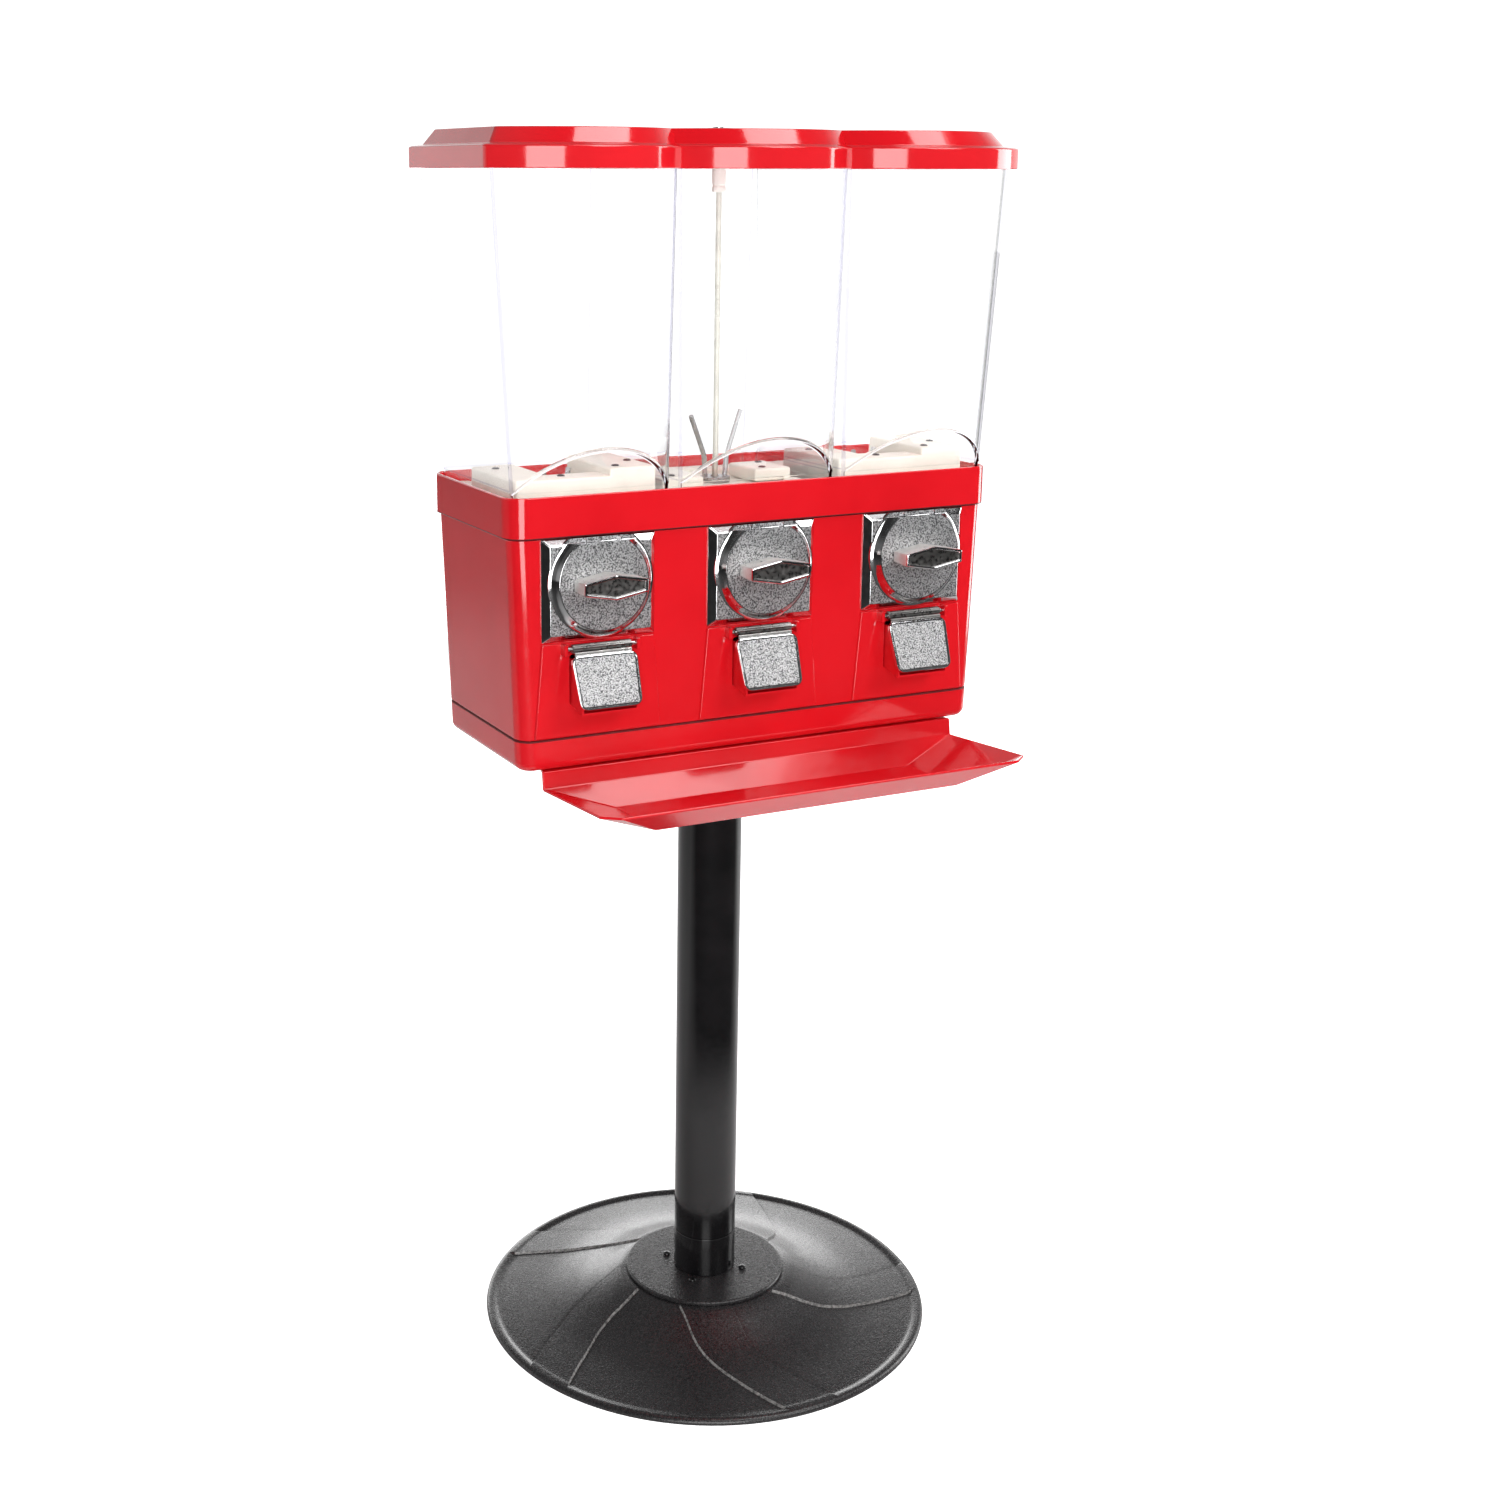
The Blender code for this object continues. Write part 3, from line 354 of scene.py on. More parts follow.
def hull(points, width=0.0, steps=2):
    """Points and faces of the convex solid round the given corners, with rounded edges."""
    bm = bmesh.new()
    verts = [bm.verts.new(p) for p in points]
    bmesh.ops.convex_hull(bm, input=verts)
    bmesh.ops.dissolve_limit(bm, angle_limit=0.01, verts=bm.verts, edges=bm.edges)
    if width:
        bmesh.ops.bevel(bm, geom=bm.edges[:], offset=width, segments=steps, profile=0.5, affect="EDGES")
    return from_bmesh(bm)


def from_bmesh(bm):
    bm.verts.index_update()
    verts = [tuple(v.co) for v in bm.verts]
    faces = [tuple(v.index for v in f.verts) for f in bm.faces]
    bm.free()
    return verts, faces


def combine(obj, shapes, operation):
    """Unites obj with, or cuts from it, each (points, faces) in turn."""
    for verts, faces in shapes:
        tool = piece("tool", verts, faces, obj.data.materials[0], None)
        mod = obj.modifiers.new("shape", "BOOLEAN")
        mod.operation = operation
        mod.solver = "EXACT"
        mod.object = tool
        bake(obj)
        bpy.data.objects.remove(tool, do_unlink=True)


def bake(obj):
    """Turns obj's modifiers into mesh."""
    bpy.context.view_layer.update()
    view = obj.evaluated_get(bpy.context.evaluated_depsgraph_get())
    mesh = bpy.data.meshes.new_from_object(view)
    obj.modifiers.clear()
    obj.data = mesh


def paint(obj, choose):
    """Gives each face the material slot that choose(centre in mm, normal) returns."""
    for face in obj.data.polygons:
        face.material_index = choose([c * 1000 for c in face.center], face.normal)


def rod(path, radius, sides=16):
    """Points and faces of a round rod along a path of points."""
    path = [Vector(p) for p in path]
    rings = []
    side = None
    for i, p in enumerate(path):
        ahead = (path[min(i + 1, len(path) - 1)] - path[max(i - 1, 0)]).normalized()
        if side is None:
            side = ahead.orthogonal().normalized()
        side = (side - ahead * side.dot(ahead)).normalized()
        up = ahead.cross(side)
        rings.append([tuple(p + (side * math.cos(a) + up * math.sin(a)) * radius)
                      for a in (2 * math.pi * k / sides for k in range(sides))])
    return skin(rings)


def join_shapes(shapes):
    """Several closed shapes as one list of points and faces."""
    verts, faces = [], []
    for v, f in shapes:
        base = len(verts)
        verts += v
        faces += [tuple(i + base for i in face) for face in f]
    return verts, faces


def smooth_curve(knots):
    """A monotone curve through knots of (x, y), as a function."""
    xs, ys = zip(*knots)
    gaps = [(ys[i + 1] - ys[i]) / (xs[i + 1] - xs[i]) for i in range(len(xs) - 1)]
    slopes = [gaps[0]]
    for a, b in zip(gaps, gaps[1:]):
        slopes.append(0.0 if a * b <= 0 else 2 * a * b / (a + b))
    slopes.append(gaps[-1])

    def at(x):
        x = min(max(x, xs[0]), xs[-1])
        k = max(i for i in range(len(xs) - 1) if xs[i] <= x)
        width = xs[k + 1] - xs[k]
        t = (x - xs[k]) / width
        return ((2 * t ** 3 - 3 * t ** 2 + 1) * ys[k] + (t ** 3 - 2 * t ** 2 + t) * width * slopes[k]
                + (3 * t ** 2 - 2 * t ** 3) * ys[k + 1] + (t ** 3 - t ** 2) * width * slopes[k + 1])
    return at


# ---------------------------------------------------------------- stand

STRAPS = 5                   # raised swirling bands on the casting
STRAP_HALF = 23.5            # half the width of a band
STRAP_RISE = 1.8             # height of a band over the bell
STRAP_AT_RIM = -88.5         # degrees, where the first band meets the rim
STRAP_EDGE = [-3.0, -1.3, -0.7, -0.1, 0.5, 1.1, 2.6]    # across each edge, inwards from outside
IN_BAND, BETWEEN = 9.0, -9.0                            # marks for points clear of the edges
SECTOR_COLUMNS = 40
PAINTED_HIGHLIGHT_COLUMNS = (2, 3, 16, 17)                         # painted highlight along the crest on either edge


def make_foot_casting():
    bell = smooth_curve([(60, 33.7), (73, 33.7), (82, 30.7), (100, 22.2), (120, 14.5), (150, 8.0),
                         (194, 3.7)])
    swirl = smooth_curve([(60, 33), (74, 29), (88, 24.5), (107, 21), (124, 17), (150, 10),
                          (178, 4.5), (204.5, 0)])
    edge = STRAP_EDGE

    def columns(r):
        """Angles round the ring at radius r, each with its distance inside the nearest band edge."""
        out = []
        sector = 360 / STRAPS
        per_mm = math.degrees(1 / r)
        for s in range(STRAPS):
            centre = STRAP_AT_RIM + s * sector - swirl(r)
            half = STRAP_HALF * per_mm
            for u in edge:
                out.append((centre - half + u * per_mm, u))
            inner = half - edge[-1] * per_mm
            out += [(centre - inner + 2 * inner * k / 8, IN_BAND) for k in range(1, 8)]
            for u in reversed(edge):
                out.append((centre + half - u * per_mm, u))
            start = centre + half - edge[0] * per_mm
            rest = sector - 2 * half + 2 * edge[0] * per_mm
            out += [(start + rest * k / 20, BETWEEN) for k in range(1, 20)]
        return out

    def ring(r, z, rise):
        points = []
        for angle, u in columns(r):
            step = min(max((u + 0.7) / 1.2, 0.0), 1.0)
            line = -0.35 if -1.5 < u < -0.5 else 0.0
            a = math.radians(angle)
            points.append((r * math.cos(a), r * math.sin(a), z + rise * (step * STRAP_RISE + line)))
        return points
    low = [(8, 33.7, 0)] + [(r, bell(r), 0) for r in (30, 50, 60, 68)]
    radii = [72 + 4 * k for k in range(31)]
    top = [(r, bell(r), 1.0 if r > 74 else 0.0) for r in radii]
    bead = [(194.0, 3.9, 1.0), (195.6, 4.6, 0.8), (197.4, 5.25, 0.3), (199.5, 5.55, 0.1), (201.6, 5.3, 0),
            (203.2, 4.5, 0), (204.2, 3.3, 0), (204.5, 2.0, 0), (204.3, 0.7, 0), (203.5, 0.0, 0)]
    under = [(197, 0, 0), (192, 0.6, 0), (148, 3.4, 0), (118, 9.9, 0), (98, 17.6, 0), (80, 26.1, 0),
             (70, 29.1, 0), (8, 29.1, 0)]
    rings = [ring(*row) for row in low + top + bead + under]
    around = SECTOR_COLUMNS * STRAPS
    # Faces along the crest of each band edge take the light grey: a painted highlight.
    painted_highlight_faces = [level * around + column for level in range(len(low) + 1, len(low + top) + 1)
            for column in range(around) if column % SECTOR_COLUMNS in PAINTED_HIGHLIGHT_COLUMNS]
    foot = piece("foot_casting", *skin(rings, cyclic=True), [IRON, IRON_PAINTED_HIGHLIGHT], "cabinet", sharp=50,
                 marks=painted_highlight_faces)
    stand_for("cast_base")


POLE_R, POLE_BORE = 28.2, 26.3
SPIGOT_R, SPIGOT_BORE = 25.8, 21.8
HUB_BOLTS = 4
ROD_R = 2.6                  # the tie rod from the flange to the lid
ROD_HOLE = 3.6


def make_stand():
    hub = [(SPIGOT_BORE, 109.5), (SPIGOT_R, 109.5), (SPIGOT_R, 38.0), (71.2, 38.0), (72.4, 37.6),
           (73.0, 36.8), (73.0, 34.6), (72.4, 34.05), (SPIGOT_BORE, 34.05)]
    obj = piece("hub_disc", *lathe(hub, 128, closed=True), IRON, "cabinet")
    stand_for("hub_plate")
    for i in range(HUB_BOLTS):
        node = f"hub_bolt_{i + 1}"
        low, high = span(node)
        x, y, top = (low[0] + high[0]) / 2, (low[1] + high[1]) / 2, high[2]
        head = [(0, 29), (2.0, 29), (2.0, top - 1.9), (3.3, top - 1.9), (3.35, top - 1.2), (2.9, top - 0.5),
                (2.0, top - 0.1), (1.3, top), (1.2, top - 0.9), (0, top - 1.0)]
        screw = piece(f"hub_screw_{i + 1}", *lathe(head, 32, centre=(x, y)), BLACK, "cabinet")
        stand_for(node)
    sleeve = [(POLE_BORE, 38.4), (28.0, 38.4), (28.4, 38.8), (28.4, 74.6), (28.1, 75.3), (POLE_BORE, 75.3)]
    obj = piece("pole_sleeve", *lathe(sleeve, 128, closed=True), BLACK, "cabinet")
    stand_for("stand_foot")
    tube = [(POLE_BORE, 75.7), (27.8, 75.7), (POLE_R, 76.3)]
    tube += [(POLE_R, 76.3 + 480.4 * k / 24) for k in range(1, 24)]
    tube += [(POLE_R, 556.9), (27.8, 557.6), (POLE_BORE, 557.6)]
    obj = piece("pole", *lathe(tube, 128, closed=True), BLACK, "cabinet")
    stand_for("stand_pipe")
    flange = [(ROD_HOLE, 563.6), (43.2, 563.6), (44.0, 562.9), (44.0, 558.8), (43.2, 558.0),
              (SPIGOT_R, 558.0), (SPIGOT_R, 542.0), (20, 542.0), (20, 558.0), (ROD_HOLE, 558.0)]
    obj = piece("pole_flange", *lathe(flange, 96, closed=True), BLACK, "cabinet")
    stand_for("stand_top_plate")


# ---------------------------------------------------------------- cabinet

LOW_SEAM, HIGH_SEAM, COLLAR_TOP = 590.5, 753.4, 786.4
HALF_W_LOW, HALF_W_SPREAD = 216, 5.4      # half width at the lower seam, and its growth to the upper
FRONT, REAR_LOW, REAR_SPREAD = -82.0, 82, 3
CORNER = 14
HUB_HOLE, DROP_HOLE, DROP_X = 33, 10.2, 45


def outline(half_w, front, rear, radius, z, steps=10):
    """A rounded rectangle at height z."""
    corners = [(half_w - radius, front + radius, -90), (half_w - radius, rear - radius, 0),
               (radius - half_w, rear - radius, 90), (radius - half_w, front + radius, 180)]
    points = []
    for x, y, first in corners:
        for i in range(steps + 1):
            a = math.radians(first + 90 * i / steps)
            points.append((x + radius * math.cos(a), y + radius * math.sin(a), z))
    return points


def seam(obj, low, high):
    """Paints shade on the joint faces between two heights, where the gap between parts lies in shadow."""
    obj.data.materials.append(SEAM)
    dark = len(obj.data.materials) - 1
    points = obj.data.vertices
    for face in obj.data.polygons:
        top = max(points[v].co.z for v in face.vertices) * 1000
        if low < face.center.z * 1000 < high and top < high + 0.5:
            face.material_index = dark


def cabinet_ring(z, inset=0.0):
    """The outline of the flaring cabinet at height z."""
    part = (z - LOW_SEAM) / (HIGH_SEAM - LOW_SEAM)
    return outline(HALF_W_LOW + HALF_W_SPREAD * part - inset, FRONT + inset,
                   REAR_LOW + REAR_SPREAD * part - inset, CORNER - min(inset, 12), z)


def make_cabinet():
    rings = [cabinet_ring(567.2, 9), cabinet_ring(567.2, 7.5), cabinet_ring(589.2, 3), cabinet_ring(590.2, 3),
             cabinet_ring(590.2, 1.0), cabinet_ring(589.6, 0.3), cabinet_ring(588.8, 0),
             cabinet_ring(571.5, 0)]
    for k in range(1, 7):
        a = math.radians(15 * k)
        rings.append(cabinet_ring(571.5 - 7.5 * math.sin(a), 7.5 * (1 - math.cos(a))))
    pan = piece("cabinet_pan", *skin(rings), RED, "cabinet")
    combine(pan, [lathe([(ROD_HOLE, 560), (ROD_HOLE, 575)], 32)], "DIFFERENCE")
    tidy(pan)
    seam(pan, 589.2, 590.4)
    stand_for("base_pan")

    top = HIGH_SEAM - 0.3
    rings = [cabinet_ring(LOW_SEAM, 3), cabinet_ring(LOW_SEAM, 1.1), cabinet_ring(LOW_SEAM + 0.6, 0.3),
             cabinet_ring(LOW_SEAM + 1.4, 0)]
    rings += [cabinet_ring(LOW_SEAM + 1.4 + (top - LOW_SEAM - 2.8) * k / 6, 0) for k in range(1, 7)]
    rings += [cabinet_ring(top - 0.6, 0.3), cabinet_ring(top, 1.0), cabinet_ring(top, 3)]
    body = piece("cabinet_body", *skin(rings, cyclic=True), RED, "cabinet")
    adds, cuts = [], []
    for bay in BAYS:
        x = BAY_X[bay]
        panel = [(x + sx * half, y, z) for sx in (-1, 1) for y, grow in ((FRONT - 2.0, 0), (FRONT + 1.5, 1.2))
                 for half, z in ((49 + grow, 668.5), (55.5 + grow, LOW_SEAM + 1.6))]
        adds.append(hull(panel, 0.7, 3))    # raised panel below the mechanism
        for side in (-1, 1):
            near, far = sorted((x + side * 30.2, x + side * 33.5))    # hinge ears of the flap
            adds.append(soft_box((near, -92.1, 659.3), (far, -81.0, 668.8), 1.2, 3))
        cuts.append(soft_box((x - 36, -95, 682), (x + 36, -76, 749), 1.5, 2))      # window
        cuts.append(soft_box((x - 26, -95, 617.4), (x + 26, -76, 659), 2.5, 3))    # mouth
    combine(body, adds, "UNION")
    combine(body, cuts, "DIFFERENCE")
    tidy(body, 28)
    seam(body, HIGH_SEAM - 1.2, HIGH_SEAM)
    stand_for("body_shell")

    def ring(z, inset):
        grow = 3 - inset
        return outline(HALF_W_LOW + HALF_W_SPREAD + grow, FRONT - grow, REAR_LOW + REAR_SPREAD + grow,
                       CORNER + grow, z)
    low, floor, high = HIGH_SEAM, 757.0, COLLAR_TOP
    rings = [ring(low, 6), ring(low, 1.2), ring(low + 0.35, 0.35), ring(low + 1.2, 0), ring(high - 1.4, 0),
             ring(high - 0.4, 0.4), ring(high, 1.4), ring(high, 1.9), ring(high - 0.4, 2.8),
             ring(high - 1.4, 3.2), ring(floor + 2, 3.5), ring(floor + 0.6, 3.9), ring(floor, 5.4)]
    collar = piece("cabinet_collar", *skin(rings), RED, "cabinet")
    holes = []
    for bay in BAYS:
        x = BAY_X[bay]
        holes.append(lathe([(HUB_HOLE, 750), (HUB_HOLE, 760)], 64, centre=(x, 0)))
        holes.append(lathe([(DROP_HOLE, 750), (DROP_HOLE, 760)], 32, centre=(x + DROP_X, 0)))
    combine(collar, holes, "DIFFERENCE")
    tidy(collar)
    seam(collar, low - 0.1, low + 1.0)
    stand_for("collar")


def make_tray():
    """Catch trough: folded sheet with softened folds."""
    corners = {
        "flange": (190, -54, 563.4), "rim": (196, -80, 563.4), "rear": (196, -82, 549.5),
        "tip": (196, -188, 557.8), "lip": (182, -200, 558.3), "heel": (140, -100, 532),
        "toe": (140, -172, 536)}
    verts, index = [], {}
    for key, (px, py, pz) in corners.items():
        for side in (-1, 1):
            index[key, side] = len(verts)
            verts.append((side * px, py, pz))
    folds = (("flange", "rim"), ("rim", "rear"), ("rear", "heel"), ("heel", "toe"), ("toe", "lip"))
    faces = [(index[a, -1], index[b, -1], index[b, 1], index[a, 1]) for a, b in folds]
    for side in (-1, 1):
        faces.append((index["rear", side], index["tip", side], index["toe", side], index["heel", side]))
        faces.append((index["tip", side], index["lip", side], index["toe", side]))
    tray = piece("catch_tray", verts, faces, RED_STEEL, None)
    solid = tray.modifiers.new("thickness", "SOLIDIFY")
    solid.thickness = 2 * MM
    solid.offset = -1
    solid.use_even_offset = True
    bevel = tray.modifiers.new("folds", "BEVEL")
    bevel.width = 0.9 * MM
    bevel.segments = 4
    bevel.limit_method = "ANGLE"
    bevel.angle_limit = math.radians(12)
    bake(tray)
    tidy(tray, 30)
    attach(tray, "cabinet")
    PIECES.append(tray)
    stand_for("tray")


# ---------------------------------------------------------------- canisters and lid

CUSP, BOW = 77.0, 33.0       # where two bows meet, and how far each one bulges
BOW_FOOT, CAN_TOP, CAN_FOOT = 788.0, 1045.0, 757.3
CAN_WALL = 2.4
BEAD = 0.9                   # how far the arched ridge stands proud
CAN_BENDS = [(0, 3), (52, 55), (60, 60), (68, 68)]    # columns of faces at the four corners
LID_HALF_W, LID_FRONT, LID_REAR = 240, -82.4, 82


def bow_depth(t, sagitta, chord):
    """How far an arc stands off its chord, with t from -1 to 1 along it."""
    half = chord / 2
    radius = (half * half + sagitta * sagitta) / (2 * sagitta)
    return math.sqrt(max(radius * radius - (t * half) ** 2, 0.0)) - (radius - sagitta)


def canister_span(bay, z):
    """Left and right side of a canister at height z."""
    part = (z - BOW_FOOT) / (CAN_TOP - BOW_FOOT)
    outer, inner_side, middle = 218.5 + 15.5 * part, 81.5 - 3.9 * part, 71.5 + 4.9 * part
    return {"centre": (-middle, middle), "left": (-outer, -inner_side), "right": (inner_side, outer)}[bay]


def canister_skin(bay, inset, columns=48):
    """Vertical polylines round the canister, each from foot to mouth."""
    levels = []
    for level in range(4):
        points = []
        for i in range(columns + 1):
            t = 1 - 2 * i / columns
            full = bow_depth(t, BOW, 150)
            rise = max(full * 1.07, 1.5)
            z = (CAN_FOOT, BOW_FOOT, BOW_FOOT + rise, CAN_TOP)[level]
            left, right = canister_span(bay, max(z, BOW_FOOT))
            x = (left + right) / 2 + t * ((right - left) / 2 - inset)
            lean = max(0.0, (z - BOW_FOOT) / (CAN_TOP - BOW_FOOT))
            points.append((x, -75 - 4 * lean - (0, 0, full, full)[level] + inset, z))
        z = (CAN_FOOT, BOW_FOOT, BOW_FOOT + 1.5, CAN_TOP)[level]
        left, right = canister_span(bay, max(z, BOW_FOOT))
        points += [(left + inset, 78 - inset, z), (right - inset, 78 - inset, z)]
        points = rounded(points, 3.0 - inset * 0.5, 4, closed=True, only=(0, columns))
        rear = (len(points) - 2, len(points) - 1)
        points = rounded(points, 9.0 - inset, 7, closed=True, only=rear)
        levels.append(points)
    columns_3d = []
    for k in range(len(levels[0])):
        foot, shoulder, ridge, mouth = [Vector(level[k]) for level in levels]
        bulge = Vector((0, -BEAD, 0)) if ridge.y < 0 and inset == 0 else Vector()
        below = ridge + (shoulder - ridge).normalized() * min(1.8, (shoulder - ridge).length * 0.6)
        above = ridge + (mouth - ridge).normalized() * 1.8
        columns_3d.append(rounded([foot, shoulder, below, ridge + bulge, above, mouth], 1.0, 3))
    return [[column[k] for column in columns_3d] for k in range(len(columns_3d[0]))]


def make_canister(bay):
    outer, inner = canister_skin(bay, 0.0), canister_skin(bay, CAN_WALL)
    verts, faces = skin(outer + inner[::-1], cyclic=True)
    count, rings = len(outer[0]), len(outer)
    ridge = rings - 4
    marks = []
    # Faces at the four corner bends and along the arched ridge take the edge material: tint of thick plastic,
    # and painted shade.
    for index in range(len(faces)):
        ring, column = divmod(index, count)
        at_bend = any(a <= column <= b for a, b in CAN_BENDS)
        if ring < rings - 1 and (at_bend or ridge - 3 <= ring <= ridge - 1):
            marks.append(index)
    obj = piece(f"canister_shell_{bay}", verts, faces, [CLEAR, CLEAR_EDGE_TINT_AND_SHADE], "cabinet", sharp=40,
                marks=marks)
    stand_for(f"canister_{bay}")


def lid_rings(levels, columns=20):
    """Rings of the lid for each (height, inset)."""
    rings = []
    for z, inset in levels:
        bounds = [LID_HALF_W - inset, CUSP, -CUSP, inset - LID_HALF_W]
        points = []
        for right, left in zip(bounds, bounds[1:]):
            for i in range(columns + (left == bounds[-1])):
                t = 1 - 2 * i / columns
                x = (left + right) / 2 + t * (right - left) / 2
                points.append((x, LID_FRONT + inset - bow_depth(t, BOW, 155), z))
        count = len(points)
        points += [(bounds[-1], LID_REAR - inset, z), (bounds[0], LID_REAR - inset, z)]
        sharp_corners = (0, count - 1, count, count + 1)
        rings.append(rounded(points, 3.2, 4, closed=True, only=sharp_corners))
    return rings


def make_lid():
    outside = rounded([(1036, 2.3), (1033.7, 2.3), (1033.7, 0), (1050, 0), (1051.2, 2.2), (1052.0, 8.7),
                       (1064, 16.7), (1064, 22)], 0.9, 3)
    inside = rounded([(1061.7, 21), (1061.7, 19), (1049.7, 11), (1047.7, 2.3), (1038, 2.3)], 0.8, 2)
    rings = lid_rings(outside)
    under = lid_rings(inside)
    verts, faces = skin(rings, caps=False)
    n = len(rings[0])
    faces.append(tuple(range((len(rings) - 1) * n, len(rings) * n)))
    base = len(verts)
    more, more_faces = skin(under, caps=False)
    verts += more
    faces += [tuple(i + base for i in face) for face in more_faces]
    faces.append(tuple(range(base, base + n)))
    last = base + (len(under) - 1) * n
    for i in range(n):
        j = (i + 1) % n
        faces.append((last + i, last + j, j, i))
    lid = piece("lid_cover", verts, faces, RED_LID, "lid", sharp=30)
    stand_for("lid")
    top = span("lock_body")[1][2]
    barrel = rounded([(5.3, 1038), (8, 1038), (8, top - 1.8), (11, top - 1.8), (11, top - 0.7), (9.6, top),
                      (5.3, top)], 0.5, 3)
    obj = piece("lock_collar", *lathe(barrel, 64, closed=True), CHROME, "lid")
    stand_for("lock_body")
    low, high = span("lock_plug")
    plug = rounded([(0, low[2]), (5, low[2]), (5, high[2]), (0, high[2])], 0.6, 3)
    obj = piece("lock_core", *lathe(plug, 48), STEEL, "lock")
    combine(obj, [soft_box((-3, -0.6, high[2] - 7), (3, 0.6, high[2] + 2), 0.15, 2)], "DIFFERENCE")
    tidy(obj)
    stand_for("lock_plug")


def make_rod():
    shank = [(0, 548), (2.3, 548), (ROD_R, 548.5), (ROD_R, 1031.5), (2.3, 1032), (0, 1032)]
    obj = piece("tie_rod", *lathe(shank, 32), ROD_STEEL, "cabinet")
    stand_for("centre_rod")
    ribs = [(2.9, 1015.2), (5.2, 1015.0), (6.0, 1015.8), (6.0, 1019), (5.4, 1019.6), (5.4, 1021),
            (6.0, 1021.6), (6.0, 1036.4), (5.3, 1037.2), (2.9, 1037.2)]
    obj = piece("rod_cap", *lathe(ribs, 48, closed=True), WHITE, "cabinet")
    stand_for("rod_socket")


# ---------------------------------------------------------------- one bay

SHAFT_Z = 717                # height of the handle's shaft
PLATE_FACE, BOSS_FACE = -88.5, -95    # y of the plate's field and of its round boss
HOUSING_FOOT = 776.6
LOW_HOUSINGS = ((26, -24, 61, 24, 788), (-61, -30, -26, 30, 786))    # x1, y1, x2, y2, top
LOW_SCREWS = ((38, -14, 788), (50, 14, 788), (-38, 18, 786), (-50, -20, 786))
TALL_HOUSINGS = ((-61, -62, -26, 30, 797), (-30, -62, 24, -34, 796.9), (20, -62, 61, 24, 803))
TALL_SCREWS = ((-16, -46, 797), (30, -50, 803), (52, -26, 803), (-48, 8, 797))


def make_hopper(bay):
    """Bed with the wheel's well. The centre bay has low housings on it, the outer bays tall ones."""
    x = BAY_X[bay]
    low, high = span(f"hopper_{bay}")
    mid, half, floor, bed = (low[0] + high[0]) / 2, (high[0] - low[0]) / 2, low[2], 779.0

    def ring(z, inset):
        return [(px + mid, py, pz) for px, py, pz in outline(half - inset, -70 + inset, 72 - inset, 6, z, 6)]
    rings = [ring(floor, 0), ring(bed - 1.4, 0), ring(bed - 0.4, 0.4), ring(bed, 1.4)]
    hopper = piece(f"hopper_bed_{bay}", *skin(rings), CREAM, "cabinet")
    well = [(58.5, floor + 3), (58.5, 777.4), (59.6, 778.8), (62, 781)]
    combine(hopper, [lathe(well, 96, centre=(x, 0)),
                     lathe([(HUB_HOLE, floor - 2), (HUB_HOLE, floor + 5)], 64, centre=(x, 0)),
                     lathe([(DROP_HOLE, floor - 2), (DROP_HOLE, floor + 5)], 32, centre=(x + DROP_X, 0))],
            "DIFFERENCE")
    blocks, heads = (LOW_HOUSINGS, LOW_SCREWS) if bay == "centre" else (TALL_HOUSINGS, TALL_SCREWS)
    combine(hopper, [soft_box((x + x1, y1, HOUSING_FOOT), (x + x2, y2, top), 2.2, 4)
                     for x1, y1, x2, y2, top in blocks], "UNION")
    tidy(hopper)
    stand_for(f"hopper_{bay}")
    screws = []
    for sx, sy, top in heads:
        head = [(0, top - 1), (3.2, top - 1), (3.2, top + 0.3), (2.5, top + 1.0), (1.2, top + 1.2),
                (1.0, top + 0.5), (0, top + 0.5)]
        screws.append(lathe(head, 24, centre=(x + sx, sy)))
    piece(f"hopper_screws_{bay}", *join_shapes(screws), DARK, "cabinet")


LONG_ROD = ((9, 0, 777), (11.2, 1.6, 789), (12.2, 3, 797), (15, 4.6, 803.5), (30, 12, 834))
SHORT_ROD = ((9, 0, 777), (11, 3, 787), (14, 6, 795))
POCKETS, POCKET_R = 6, 9.7
DRIVE_PINS, PIN_CIRCLE = 12, 28.5


def make_wheel(bay):
    x = BAY_X[bay]
    disc = rounded([(4, 745), (31.5, 745), (31.5, 760.6), (57, 760.6), (57, 775.5), (4, 775.5)], 0.9, 3)
    wheel = piece(f"dispensing_wheel_{bay}", *lathe(disc, 96, centre=(x, 0), closed=True), CREAM,
                  f"wheel_{bay}")
    cuts = []
    for i in range(POCKETS):
        a = math.radians(360 / POCKETS * i)
        cuts.append(lathe([(POCKET_R, 758), (POCKET_R, 774.6), (10.6, 775.6), (11.5, 777)], 40,
                          centre=(x + DROP_X * math.cos(a), DROP_X * math.sin(a))))
    combine(wheel, cuts, "DIFFERENCE")
    tidy(wheel)
    stand_for(f"candy_wheel_{bay}")
    pins = []
    for i in range(DRIVE_PINS):
        a = math.radians(360 / DRIVE_PINS * i - 90)
        pins.append(lathe(rounded([(0, 732), (2.3, 732), (2.3, 746), (0, 746)], 0.5, 2), 20,
                          centre=(x + PIN_CIRCLE * math.cos(a), PIN_CIRCLE * math.sin(a))))
    piece(f"wheel_pins_{bay}", *join_shapes(pins), CREAM, f"wheel_{bay}")
    hub = rounded([(4, 775.8), (13, 775.8), (13, 781), (4, 781)], 0.8, 3)
    shapes = [lathe(hub, 48, centre=(x, 0), closed=True)]
    for side in (-1, 1):
        knots = LONG_ROD if bay == "centre" else SHORT_ROD
        path = [(x + side * px, side * py, pz) for px, py, pz in knots]
        shapes.append(rod(rounded(path, 5, 4), 2.2, 20))
    obj = piece(f"agitator_rods_{bay}", *join_shapes(shapes), DARK_STEEL, f"wheel_{bay}")
    stand_for(f"agitator_{bay}")


